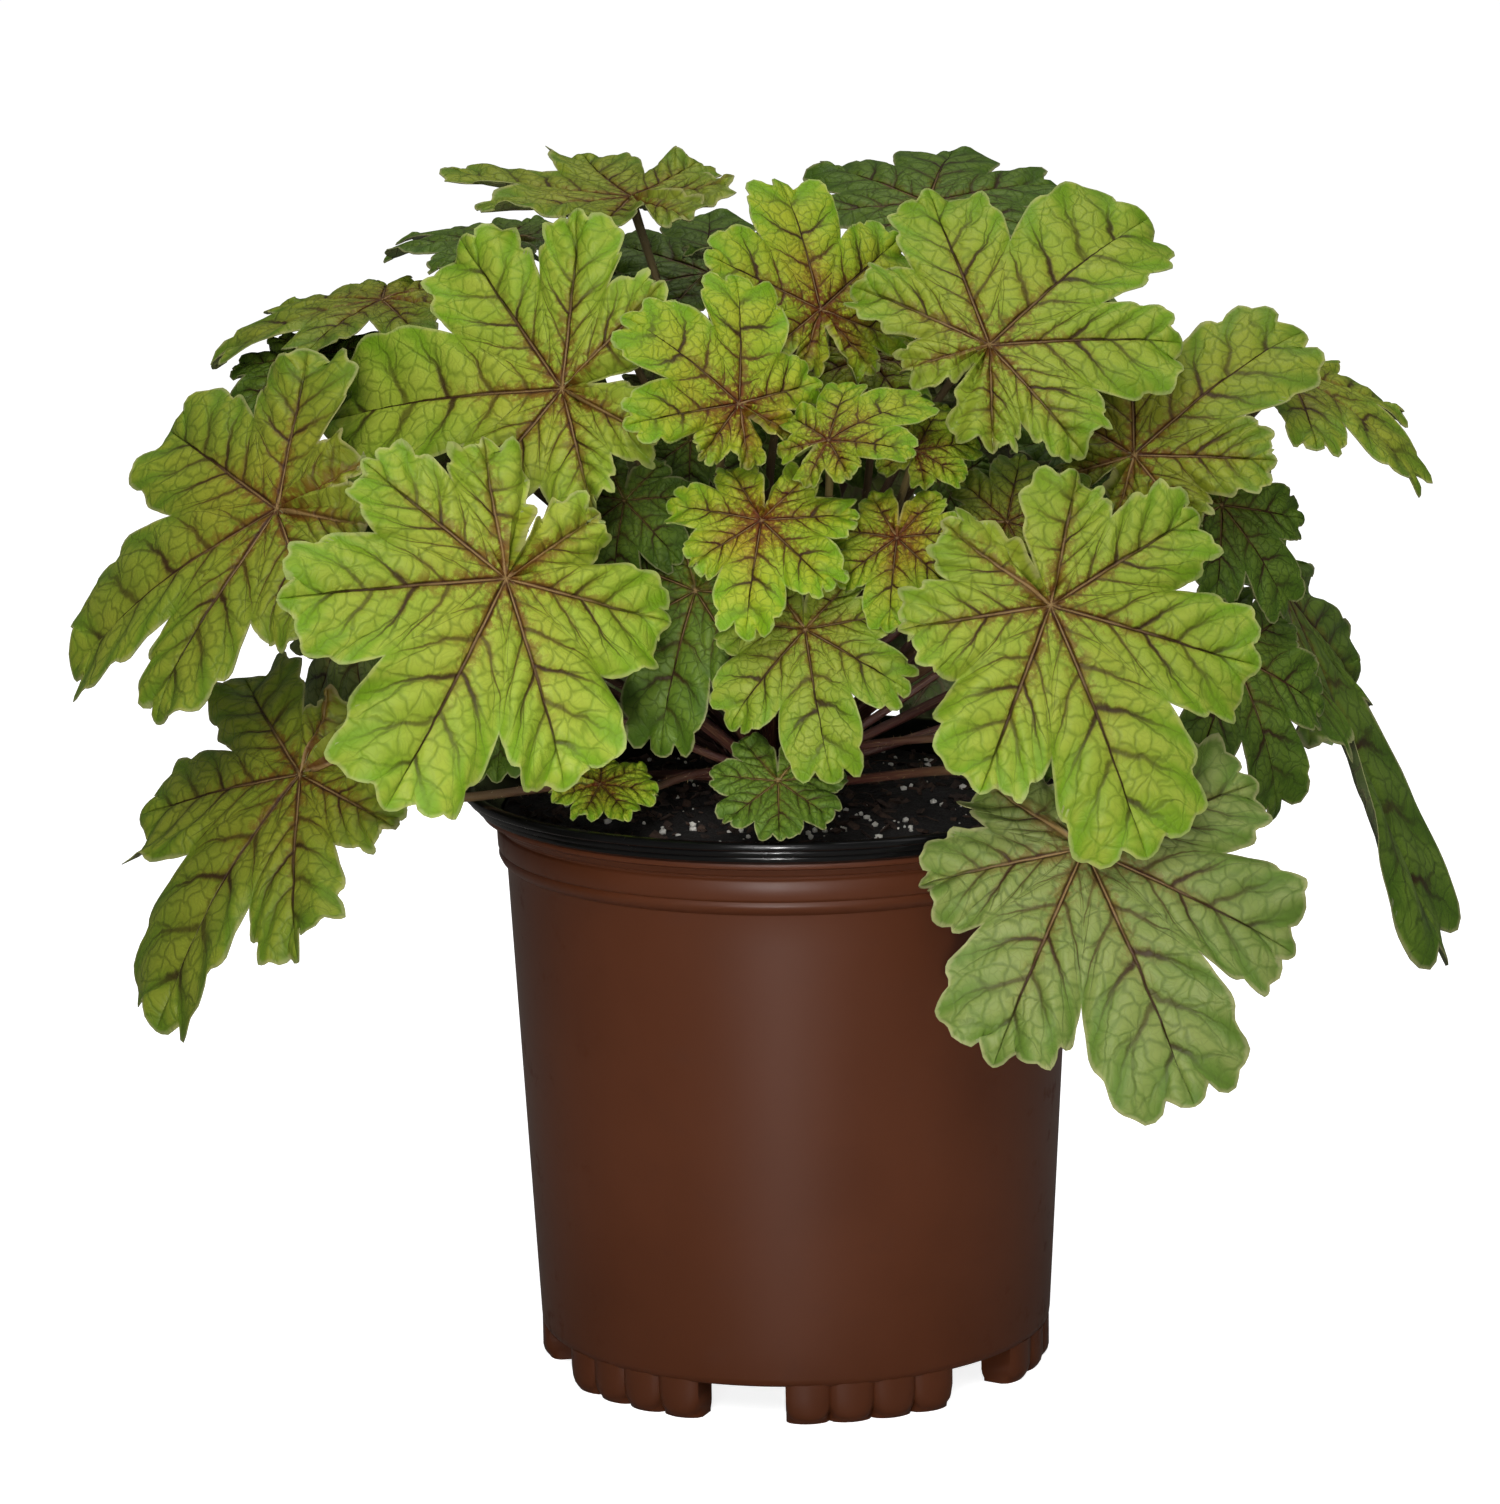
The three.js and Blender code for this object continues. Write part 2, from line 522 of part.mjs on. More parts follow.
// Stalk's middle line, from the hub back to the crown: it comes up to the hub from under the blade
function stalkPath(leaf, root) {
  const { forward, face } = leafFrame(leaf);
  const hub = new THREE.Vector3(...leaf.hub).addScaledVector(face, -BLADE / 2);
  const start = root.clone().multiplyScalar(crownReach(root) + ROOT_GAP).add(CROWN);
  const ahead = leaf.ahead ?? STALK_AHEAD;
  const arrive = forward.clone().multiplyScalar(ahead).addScaledVector(face, STALK_UNDER - ahead);
  arrive.normalize();
  const reach = hub.distanceTo(start);
  const first = start.clone().addScaledVector(root, STALK_RISE * reach);
  if (leaf.via) first.add(new THREE.Vector3(...leaf.via));
  const last = hub.clone().addScaledVector(arrive, -STALK_RISE * reach);
  return new THREE.CubicBezierCurve3(hub, last, first, start);
}

// Angle of one of the stalk's corners in the blade
function collarAngle(side) {
  return -180 + 360 * side / STALK_SIDES;
}

// Rings of points round the stalk; the first lies flat in the blade's underside
function stalkRings(leaf, root) {
  const { forward, left, face } = leafFrame(leaf);
  const path = stalkPath(leaf, root);
  const across = [forward.clone(), left.clone()];
  let along = face.clone().negate();
  const rings = [];
  for (let step = 0; step <= leaf.detail.stalkSteps; step++) {
    const share = step / leaf.detail.stalkSteps;
    if (step > 0) {
      const tangent = path.getTangent(share);
      const bend = new THREE.Quaternion().setFromUnitVectors(along, tangent);
      for (const direction of across) direction.applyQuaternion(bend);
      along = tangent;
    }
    const centre = path.getPoint(share);
    const ring = [];
    for (let side = 0; side < STALK_SIDES; side++) {
      const angle = rad(collarAngle(side));
      ring.push(centre.clone().addScaledVector(across[0], STALK_RADIUS * Math.cos(angle))
        .addScaledVector(across[1], STALK_RADIUS * Math.sin(angle)));
    }
    rings.push(ring);
  }
  return rings;
}

// A leaf as one closed surface: upper face, underside, edge, and the stalk grown out of the underside
function buildLeaf(leaf, root) {
  const { forward, left, face } = leafFrame(leaf);
  const rings = leaf.detail.rings.map((part) => innerRing(leaf, part));
  rings.push(edgePoints(leaf, leaf.detail.steps));
  const hub = new THREE.Vector3(...leaf.hub);
  const points = [hub.clone()];
  const starts = [];
  for (const ring of rings) {
    starts.push(points.length);
    for (const [angle, radius] of ring) {
      const x = leaf.span * radius * Math.cos(rad(angle));
      const y = leaf.span * radius * Math.sin(rad(angle));
      const z = leaf.span * bladeHeight(angle, radius, leaf);
      const point = hub.clone().addScaledVector(forward, x).addScaledVector(left, y);
      points.push(point.addScaledVector(face, z));
    }
  }
  const fan = [];
  for (let i = 0; i < rings[0].length; i++) fan.push(0, 1 + i, 1 + (i + 1) % rings[0].length);
  const rest = [];
  for (let r = 1; r < rings.length; r++) stitch(rings[r - 1], rings[r], starts[r - 1], starts[r], rest);

  const middle = new THREE.BufferGeometry().setFromPoints(points);
  middle.setIndex([...fan, ...rest]);
  middle.computeVertexNormals();
  const count = points.length;
  const all = [];
  for (const side of [0.5, -0.5]) {
    for (let i = 0; i < count; i++) {
      const normal = new THREE.Vector3().fromBufferAttribute(middle.attributes.normal, i);
      all.push(points[i].clone().addScaledVector(normal, side * BLADE));
    }
  }
  const index = [...fan, ...rest];
  for (let t = 0; t < rest.length; t += 3) {
    index.push(count + rest[t], count + rest[t + 2], count + rest[t + 1]);
  }
  const edge = rings[rings.length - 1].length;
  for (let i = 0; i < edge; i++) {
    const a = starts[starts.length - 1] + i;
    const b = starts[starts.length - 1] + (i + 1) % edge;
    index.push(a, count + a, count + b, a, count + b, b);
  }

  const stalk = stalkRings(leaf, root);
  const collar = Array.from(stalk[0], (corner, side) => [collarAngle(side), 0]);
  const under = [];
  stitch(collar, rings[0], 2 * count, count + 1, under);
  for (let t = 0; t < under.length; t += 3) index.push(under[t], under[t + 2], under[t + 1]);
  for (const ring of stalk) all.push(...ring);
  for (let r = 0; r < stalk.length - 1; r++) {
    for (let side = 0; side < STALK_SIDES; side++) {
      const next = (side + 1) % STALK_SIDES;
      const a = 2 * count + r * STALK_SIDES;
      const b = a + STALK_SIDES;
      index.push(a + side, b + next, a + next, a + side, b + side, b + next);
    }
  }
  const end = 2 * count + (stalk.length - 1) * STALK_SIDES;
  for (let side = 1; side < STALK_SIDES - 1; side++) index.push(end, end + side + 1, end + side);
  const geometry = new THREE.BufferGeometry().setFromPoints(all);
  geometry.setIndex(index);
  geometry.computeVertexNormals();
  return geometry;
}

// Leaves behind, spread along each tier with a little seeded scatter
function backLeaves() {
  const random = makeRandom(BACK_SEED);
  const scatter = (size) => size * (2 * random() - 1);
  const leaves = [];
  for (const tier of BACK_TIERS) {
    for (let k = 0; k < tier.count; k++) {
      const bearing = tier.from + (tier.to - tier.from) * k / (tier.count - 1) + scatter(SCATTER.bearing);
      const out = tier.stagger * (k % 2);
      const reach = tier.reach + out * Math.sin(rad(tier.tilt)) + scatter(SCATTER.place);
      const height = tier.height + out * Math.cos(rad(tier.tilt)) + scatter(SCATTER.place);
      leaves.push({
        name: `${tier.tag}_${k + 1}`,
        hub: [reach * Math.cos(rad(bearing)), reach * Math.sin(rad(bearing)), height],
        span: tier.span + scatter(SCATTER.span),
        lean: bearing + scatter(SCATTER.lean),
        tilt: tier.tilt + scatter(SCATTER.tilt),
        turn: scatter(SCATTER.turn),
        detail: tier.detail,
        tone: tier.tone,
      });
    }
  }
  return leaves;
}

// Where each stalk starts on the crown: low leaves low on its side, high leaves near its top, pushed
// apart until no two are closer than the spacing
function stalkRoots(leaves) {
  const order = leaves.slice().sort((a, b) => a.hub[2] - b.hub[2]);
  const roots = order.map((leaf, rank) => {
    const away = Math.hypot(leaf.hub[0] - CROWN.x, leaf.hub[1] - CROWN.y);
    const bearing = Math.atan2(leaf.hub[1] - CROWN.y, leaf.hub[0] - CROWN.x) + rad(leaf.rootTurn ?? 0);
    const own = Math.atan2(leaf.hub[2] - CROWN.z, away);
    const ranked = CLIMB_FIRST + CLIMB_RANGE * rank / order.length + (leaf.rootClimb ?? 0);
    const climb = rad(ranked) + CLIMB_OWN * own;
    const flat = Math.cos(climb);
    return new THREE.Vector3(flat * Math.cos(bearing), flat * Math.sin(bearing), Math.sin(climb));
  });
  const push = new THREE.Vector3();
  for (let round = 0; round < ROOT_ROUNDS; round++) {
    for (let i = 0; i < roots.length; i++) {
      for (let j = 0; j < i; j++) {
        const short = ROOT_SPACING - roots[i].distanceTo(roots[j]);
        if (short <= 0) continue;
        push.subVectors(roots[i], roots[j]).setLength(short / 2);
        roots[i].add(push);
        roots[j].sub(push);
      }
    }
    for (const root of roots) root.setZ(Math.max(root.z, ROOT_LOWEST)).normalize();
  }
  return new Map(order.map((leaf, rank) => [leaf, roots[rank]]));
}

const plant = new THREE.Group();
plant.add(buildPot(), buildSoil(), buildCrown());
const leaves = [...LEAVES, ...backLeaves()];
const roots = stalkRoots(leaves);
for (const leaf of leaves) {
  const blade = buildLeaf(leaf, roots.get(leaf));
  plant.add(named(`leaf_${leaf.name}`, blade, TONES[leaf.tone ?? "fresh"].clone()));
}

export default plant;
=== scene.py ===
"""A heucherella in a nursery pot: pot, soil, crown and leaves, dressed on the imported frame."""
import math

import bpy
import numpy as np
from mathutils import Matrix, Vector, noise


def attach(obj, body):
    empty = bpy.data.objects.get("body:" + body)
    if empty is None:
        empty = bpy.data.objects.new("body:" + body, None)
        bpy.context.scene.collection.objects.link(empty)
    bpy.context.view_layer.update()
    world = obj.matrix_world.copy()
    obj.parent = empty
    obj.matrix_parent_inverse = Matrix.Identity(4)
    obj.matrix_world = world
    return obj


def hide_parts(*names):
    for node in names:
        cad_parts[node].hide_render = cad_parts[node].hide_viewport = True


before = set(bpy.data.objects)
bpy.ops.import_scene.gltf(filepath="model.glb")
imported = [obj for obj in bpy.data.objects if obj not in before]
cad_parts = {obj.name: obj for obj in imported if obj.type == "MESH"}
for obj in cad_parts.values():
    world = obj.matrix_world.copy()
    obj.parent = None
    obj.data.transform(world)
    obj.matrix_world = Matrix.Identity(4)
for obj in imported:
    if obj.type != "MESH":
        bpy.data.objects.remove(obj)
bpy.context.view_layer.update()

bl_info = {
    "name": "Potted heucherella",
    "version": (1, 0, 0),
    "blender": (4, 5, 0),
    "location": "3D View > Sidebar > Plant",
    "description": "Builds a heucherella in a nursery pot, leaf by leaf",
    "category": "Add Mesh",
}

MM = 0.001

# Pot, in millimetres
POT_HEIGHT = 150
RIM_RADIUS = 82.5
BAND_RADIUS = 73.6
WALL_TOP_RADIUS = 71.2
WALL_BASE_RADIUS = 64.9
WALL_TOP_Z = 130
WALL = 1.6
FLOOR_Z = 10
POT_SEGMENTS = 180
FEET = 6
FOOT_SPREAD = 40
FIRST_FOOT = -73
FOOT_INNER_RADIUS = 55
FLUTES = 4
FLUTE_DEPTH = 1.5
DRAIN_RADIUS = 5
DRAIN_RING = 42
WALL_SLOPE = (WALL_TOP_RADIUS - WALL_BASE_RADIUS) / (WALL_TOP_Z - FLOOR_Z)

# Soil and crown, in millimetres
GAP = 0.3
SOIL_EDGE_Z = 143
SOIL_HEAP = 4.5
SOIL_RINGS = 44
SOIL_SEGMENTS = 132
CROWN = np.array((-4.0, 3.0, 148.0))
CROWN_RADIUS = 13
CROWN_HEIGHT = 15
CROWN_SEGMENTS = 56
CROWN_ROWS = 36
SCALE_ROWS = 6
CROWN_DEPTH = 10

# Camera, in metres and degrees, as the photograph has it
CAMERA_AIM = (-0.0096, 0, 0.156)
CAMERA_AWAY = 1.4
CAMERA_PITCH = 11.26
CAMERA_ROLL = -0.88

# Lights: name, place and size in metres, and power as a share of the key light's
LIGHTS = (("key", (-0.25, -1.75, 1.35), 0.8, 1), ("fill", (1.5, -1.1, 1.1), 1.4, 0.35),
          ("top", (0.1, 0.3, 2.0), 1.4, 0.6), ("front", (-0.35, -2.1, 0.35), 0.5, 0.5))
LIGHTS_AIM = (0, 0, 0.15)
POT_SPOT_PLACE = (-0.1, -1.25, 0.08)
POT_SPOT_AIM = (-0.01, -0.07, 0.095)

# Leaves: seven lobes, numbered anticlockwise on the upper face from the right basal one.
# Angles are degrees from the middle lobe; lengths and heights are in spans
LOBE_ANGLES = (-146, -99, -49, 0, 49, 99, 146)
LOBE_LENGTHS = (0.52, 0.66, 0.82, 1, 0.82, 0.66, 0.52)
NOTCH_ANGLES = (-180, -123, -75, -26, 26, 75, 123, 180)
NOTCH_RADII = (0.12, 0.44, 0.52, 0.58, 0.58, 0.52, 0.44, 0.12)
LOBES = len(LOBE_ANGLES)
NOTCH_LIMIT = 0.8
LOBE_FOLD = 0.045
FOLD_WIDTH = 25
SHOULDER = 0.075
TOOTH = 0.052
BLADE = 0.7
STALK_RISE = 0.38
STALK_UNDER = 1.05
ROOT_GAP = 0.45
ROOT_SPACING = 0.27
ROOT_ROUNDS = 60
ROOT_LOWEST = 0.12
RAY_VEINS = 2
VEIN_STAGGER = 0.175

# Teeth a half lobe, rows a tooth, columns from midrib to edge, and steps along the stalk
DETAIL = {
    "large": (4, 7, 7, 26),
    "medium": (3, 6, 6, 22),
    "small": (3, 5, 5, 18),
}

# Surface coordinates on every leaf mesh, and the flat layout for baking
MAPS = ("Lobe", "Vein", "Flat", "Edge", "OFBake")


def leaf(name, hub, span, lean, tilt, turn, detail, tone, cup=0.15, droop=0.1, ahead=0.25,
         full=3.5, lobes=(1,) * LOBES, swing=(0,) * LOBES, root_turn=0, root_climb=0,
         via=(0, 0, 0)):
    """One leaf: hub, middle lobe's length, where its face leans, its tilt and its turn."""
    return dict(name=name, hub=np.array(hub, float), span=span, lean=lean, tilt=tilt, turn=turn,
                detail=detail, tone=tone, cup=cup, droop=droop, ahead=ahead, full=full,
                lobes=lobes, swing=swing, root_turn=root_turn, root_climb=root_climb,
                via=np.array(via, float))


# Lobes' lengths on a young leaf near the soil, which is almost round
ROUND_LOBES = (1.25, 1.05, 0.88, 0.72, 0.88, 1.05, 1.25)

# Leaves in the dark tone, and the back_low tier's, carry painted shade in their colour
LEAVES = [
    leaf("front_left", (-66, -90, 216), 63, -65, 68, -35, "large", "fresh",
         lobes=(1, 1, 1, .92, .95, 1, .9), swing=(0, -3, -8, 0, -4, 8, 6)),
    leaf("front_right", (61, -92, 208), 62, -78, 64, 18, "large", "fresh",
         lobes=(.95, .85, .9, .97, 1, 1.1, 1.05), swing=(-4, -4, 5, 0, 5, 2, -3)),
    leaf("upper_left", (-53, -50, 255), 62, -116, 62, -78, "large", "fresh",
         cup=0.08, lobes=(1.05, 1.1, 1.05, 1.12, .7, .75, .9), swing=(8, 5, -8, -7, -4, 4, 0)),
    leaf("upper_right", (49, -50, 264), 54, -86, 54, 140, "large", "fresh",
         lobes=(.95, .95, 1.05, 1.12, 1.02, 1, .75), swing=(4, -4, 4, -5, 5, -1, -2)),
    leaf("left", (-122, -50, 227), 65, -130, 54, -62, "large", "olive",
         cup=0.1, lobes=(.7, 1.05, 1.1, 1.12, 1.06, .9, .85), swing=(-20, 0, 0, 7, -5, 6, 4)),
    leaf("lower_left", (-118, -55, 163), 63, -135, 46, -20, "large", "olive",
         lobes=(.7, 1.3, 1.1, 1.06, .97, .85, .9), swing=(-3, 0, -6, 6, 2, 0, 0)),
    leaf("lower_right", (69, -88, 149), 64, -92, 55, 19, "large", "grey",
         cup=0.2, ahead=0.85, full=5, lobes=(.9, .9, 1, .97, 1, 1.05, 1),
         swing=(0, 0, 6, 4, -3, -3, 0)),
    leaf("top_left", (-37, 8, 295), 48, -90, 9, -112, "large", "olive", cup=-0.05, droop=0),
    leaf("right_folded", (85, -30, 234), 52, -110, 56, 142, "large", "olive",
         lobes=(.6, .75, .78, 1, .85, .9, .7)),
    leaf("far_right_rolled", (126, 13, 248), 42, -37, 20, 8, "medium", "olive", cup=0.2),
    leaf("far_right_hanging", (130, 60, 185), 84, -12, 64, 0, "large", "dark",
         cup=0.03, droop=0, lobes=(.8, .75, .75, 1.25, .75, .75, .8)),
    leaf("centre", (-6, -72, 226), 32, -100, 47, -3, "medium", "young",
         cup=0.08, lobes=(1.1, 1.1, .75, .9, .95, 1.05, 1.05)),
    leaf("centre_upper", (-11, -66, 253), 34, -60, 68, -148, "medium", "young",
         lobes=(.9, 1.05, 1.2, .95, 1, .75, .85), swing=(-8, -14, 0, 7, 12, 2, 0)),
    leaf("centre_top", (9, -32, 271), 38, -55, 62, 178, "medium", "young",
         cup=0.06, lobes=(1, 1, 1.1, .95, 1, .85, .9), swing=(0, -14, -10, -5, 10, 20, 0)),
    leaf("centre_right", (26, -70, 221), 26, -106, 52, 1, "small", "young",
         lobes=(1.1, .95, .8, .85, .9, 1.1, 1.1)),
    leaf("centre_low", (4, -74, 200), 34, -106, 57, 8, "medium", "fresh",
         cup=0.22, swing=(-2, -6, 4, 6, 7, -2, -8)),
    leaf("centre_folded", (10, -74, 245), 25, -118, 40, 141, "small", "young",
         lobes=(1, .8, 1, 1.05, 1.05, .95, .95)),
    leaf("inner_red", (53, -49, 221), 27, -90, 45, 120, "medium", "olive"),
    leaf("right_dark", (108, -8, 218), 31, -59, 60, 30, "medium", "dark"),
    leaf("right_low", (111, -5, 180), 40, -50, 62, 10, "medium", "dark"),
    leaf("middle_left", (-22, -52, 206), 38, -110, 62, -10, "medium", "dark"),
    leaf("inner_top", (21, -8, 256), 28, -90, 35, -20, "small", "young"),
    leaf("inner_right", (76, 0, 235), 32, -60, 40, 10, "small", "dark"),
    leaf("inner_mid_right", (42, -10, 226), 22, -50, 60, 10, "small", "dark"),
    leaf("inner_left", (-39, -38, 226), 26, -110, 55, 0, "small", "dark",
         root_turn=20, via=(4, -6, -6)),
    leaf("inner_middle", (-23, -14, 237), 22, -95, 42, 50, "small", "dark"),
    leaf("inner_back", (5, 27, 235), 27, -90, 60, 5, "small", "dark"),
    leaf("inner_green", (31, -58, 240), 20, -80, 45, 150, "small", "young"),
    leaf("left_behind", (-119, 9, 256), 30, -120, 30, 20, "small", "dark"),
    leaf("left_back", (-100, 19, 269), 43, -120, 8, -50, "medium", "olive"),
    leaf("left_top_back", (-69, 47, 281), 38, -90, 10, -140, "medium", "dark", root_turn=-25),
    leaf("left_under", (-108, 2, 196), 46, -150, 70, 30, "small", "grey"),
    leaf("soil_left", (-67, -34, 183), 26, -110, 50, 0, "small", "dark"),
    leaf("soil_round", (-3, -72, 163), 23, -90, 42, 0, "small", "dark",
         cup=0.05, droop=0, ahead=0.7, full=5, lobes=ROUND_LOBES),
    leaf("soil_yellow", (-46, -48, 158), 19, -90, 22, 80, "small", "young",
         full=5, lobes=ROUND_LOBES, via=(0, 0, 8)),
    leaf("under_right", (62, -48, 178), 25, -80, 30, 0, "small", "dark", root_climb=18),
    leaf("back_left_fill", (-48, 70, 264), 36, 118, 38, 10, "medium", "grey"),
    leaf("back_right_fill", (68, 46, 271), 37, 30, 34, -15, "medium", "grey"),
    leaf("top_middle", (-6, 4, 282), 27, 60, 6, 20, "medium", "dark"),
    leaf("right_fill", (98, 43, 214), 34, 12, 48, 10, "medium", "grey"),
    leaf("left_fill", (-110, 34, 216), 40, 164, 52, -10, "medium", "grey"),
    leaf("dark_top_left", (-18, 40, 272), 44, -90, 25, 180, "medium", "dark"),
    leaf("dark_top_right", (38, 50, 288), 48, -90, 22, 170, "medium", "dark", root_turn=-20),
]

# Leaves behind: tag, count, first and last bearing, reach, height, stagger, span, tilt,
# detail and tone
BACK_TIERS = [
    ("back_low", 4, 56, 150, 86, 178, 14, 53, 62, "medium", "dark"),
    ("back_mid", 4, 44, 137, 80, 232, 13, 48, 48, "large", "olive"),
]
BACK_SEED = 23
LEAF_SEED = 101
LEAF_SEED_STEP = 37
BITS_SEED = 91
SCALES_SEED = 57


def seeded(seed):
    """Numbers from 0 to 1 that are the same at each run."""
    state = seed
    while True:
        state = (state * 1664525 + 1013904223) % 2 ** 32
        yield state / 2 ** 32


def back_leaves():
    """Leaves behind the plant, spread along each tier with a little scatter."""
    draw = seeded(BACK_SEED)

    def scatter(size):
        return size * (2 * next(draw) - 1)

    leaves = []
    for tag, count, first, last, reach, height, stagger, span, tilt, detail, tone in BACK_TIERS:
        for k in range(count):
            bearing = first + (last - first) * k / (count - 1) + scatter(3)
            out = stagger * (k % 2)
            away = reach + out * math.sin(math.radians(tilt)) + scatter(2)
            high = height + out * math.cos(math.radians(tilt)) + scatter(2)
            hub = heading(math.radians(bearing)) * away + (0, 0, high)
            leaves.append(leaf(f"{tag}_{k + 1}", hub, span + scatter(4), bearing + scatter(6),
                               tilt + scatter(3), scatter(20), detail, tone))
    return leaves


def unit(vector):
    return vector / np.linalg.norm(vector)


def heading(turn, climb=0.0):
    """Unit vector at a bearing and a climb, both in radians."""
    flat = math.cos(climb)
    return np.array((flat * math.cos(turn), flat * math.sin(turn), math.sin(climb)))


def crown_reach(direction):
    """How far the crown's surface is from its middle in a direction."""
    x, y, z = direction
    flat = math.hypot(x, y)
    around = math.atan2(y, x)
    knobs = 0.05 * flat * (math.sin(7 * around) + math.sin(9 * z + 4 * around))
    high = CROWN_HEIGHT if z > 0 else CROWN_DEPTH
    return (1 + knobs) / math.hypot(flat / CROWN_RADIUS, z / high)


def stalk_roots(leaves):
    """Where each stalk starts on the crown: low leaves low on its side, high ones near its top."""
    order = sorted(leaves, key=lambda one: one["hub"][2])
    roots = []
    for rank, one in enumerate(order):
        away = one["hub"] - CROWN
        bearing = math.atan2(away[1], away[0]) + math.radians(one["root_turn"])
        own = math.atan2(away[2], math.hypot(away[0], away[1]))
        climb = math.radians(7 + 49 * rank / len(order) + one["root_climb"]) + 0.4 * own
        roots.append(heading(bearing, climb))
    for _ in range(ROOT_ROUNDS):
        for i in range(len(roots)):
            for j in range(i):
                between = roots[i] - roots[j]
                apart = np.linalg.norm(between)
                if apart < ROOT_SPACING:
                    push = between / apart * (ROOT_SPACING - apart) / 2
                    roots[i] = roots[i] + push
                    roots[j] = roots[j] - push
        roots = [unit(np.array((x, y, max(z, ROOT_LOWEST)))) for x, y, z in roots]
    return {one["name"]: root for one, root in zip(order, roots)}


def leaf_frame(one):
    """A leaf's own directions: along its middle lobe, left, and out of its upper face."""
    lean, tilt, turn = (math.radians(one[key]) for key in ("lean", "tilt", "turn"))
    outward, up = heading(lean), np.array((0, 0, 1.0))
    face = outward * math.sin(tilt) + up * math.cos(tilt)
    down = outward * math.cos(tilt) - up * math.sin(tilt)
    forward = down * math.cos(turn) + np.cross(face, down) * math.sin(turn)
    return forward, np.cross(face, forward), face


class Shape:
    """Collects the points, faces, finishes and surface coordinates of one mesh."""

    def __init__(self, maps=()):
        self.points = []
        self.faces = []
        self.finishes = []
        self.maps = {name: [] for name in maps}

    def add(self, points, faces, finish=0, maps=None):
        """Adds points and faces, and the coordinates that maps give for each corner of a face."""
        base = len(self.points)
        self.points.extend(np.asarray(points, float).tolist())
        self.join(faces, base, finish, maps)

    def join(self, faces, base, finish=0, maps=None):
        """Adds faces between points that are there, numbered from a base."""
        self.faces.extend([base + i for i in face] for face in faces)
        self.finishes.extend([finish] * len(faces))
        corners = sum(len(face) for face in faces)
        for name, layers in self.maps.items():
            layers.append(maps.get(name, np.zeros((corners, 2))))

    def build(self, name, materials, sharp=50):
        """Makes the mesh object, in metres, and links it to the scene."""
        mesh = bpy.data.meshes.new(name)
        mesh.from_pydata([[v * MM for v in p] for p in self.points], [], self.faces)
        for layer_name, layers in self.maps.items():
            layer = mesh.uv_layers.new(name=layer_name)
            layer.uv.foreach_set("vector", np.concatenate(layers).ravel())
        mesh.polygons.foreach_set("material_index", self.finishes)
        for material in materials:
            mesh.materials.append(material)
        mesh.shade_smooth()
        mesh.set_sharp_from_angle(angle=math.radians(sharp))
        if mesh.validate():
            raise RuntimeError(f"{name} has a bad face")
        piece = bpy.data.objects.new(name, mesh)
        bpy.context.scene.collection.objects.link(piece)
        return piece


def place(piece, slot, *nodes):
    """Hands a piece to the frame: its body, and the solids that it stands for, which it hides. The
    slot is not used.
    """
    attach(piece, "root")
    if nodes:
        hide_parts(*nodes)
    return piece


def between_rings(rings, around, start=0):
    """Faces between closed rings of points that follow one another."""
    faces = []
    for a in range(start, start + (rings - 1) * around, around):
        for i in range(around):
            j = (i + 1) % around
            faces.append((a + i, a + j, a + around + j, a + around + i))
    return faces


def bar_faces(rings, around):
    """Faces of a bar: rings of points, with a cap at both ends."""
    last = (rings - 1) * around
    caps = [tuple(range(around - 1, -1, -1)), tuple(range(last, last + around))]
    return between_rings(rings, around) + caps


def globe_faces(rings, around):
    """Faces of a closed surface of one point, rings of points, and one point."""
    last = 1 + (rings - 1) * around
    faces = between_rings(rings, around, 1)
    for i in range(around):
        j = (i + 1) % around
        faces += [(0, 1 + j, 1 + i), (last + around, last + i, last + j)]
    return faces


def ring(radius, turns, z):
    """Points at a radius and a height, one for each bearing."""
    return np.stack(np.broadcast_arrays(radius * np.cos(turns), radius * np.sin(turns), z), 1)


def sweep(path, radii, sides):
    """A round closed bar along a path: points, faces, and each point's place along and around."""
    path = np.asarray(path, float)
    tangents = np.gradient(path, axis=0)
    tangents /= np.linalg.norm(tangents, axis=1)[:, None]
    across = unit(np.cross(tangents[0], (0.31, 0.27, 0.91)))
    points, where = [], []
    for k, (centre, tangent, radius) in enumerate(zip(path, tangents, radii)):
        across = unit(across - tangent * np.dot(across, tangent))
        other = np.cross(tangent, across)
        for side in range(sides):
            angle = 2 * math.pi * side / sides
            points.append(centre + radius * (across * math.cos(angle) + other * math.sin(angle)))
            where.append((k / (len(path) - 1), side / sides))
    return np.array(points), bar_faces(len(path), sides), np.array(where)


def lathe(profile, segments):
    """A turned surface from a profile of radius and height that starts and ends on the axis."""
    turns = 2 * math.pi * np.arange(segments) / segments
    rings = [ring(radius, turns, z) for radius, z in profile[1:-1]]
    ends = [[(0, 0, profile[k][1])] for k in (0, -1)]
    points = np.concatenate((ends[0], *rings, ends[1]))
    return points, [face[::-1] for face in globe_faces(len(rings), segments)]


def notch_place(one, index):
    """Angle and radius of a notch, the same for the two lobes beside it."""
    beside = [lobe for lobe in (index - 1, index) if 0 <= lobe < LOBES]
    swing = 0 if index in (0, LOBES) else sum(one["swing"][lobe] for lobe in beside) / 2
    lengths = [LOBE_LENGTHS[lobe] * one["lobes"][lobe] for lobe in beside]
    return (math.radians(NOTCH_ANGLES[index] + swing),
            min([NOTCH_RADII[index]] + [NOTCH_LIMIT * length for length in lengths]))


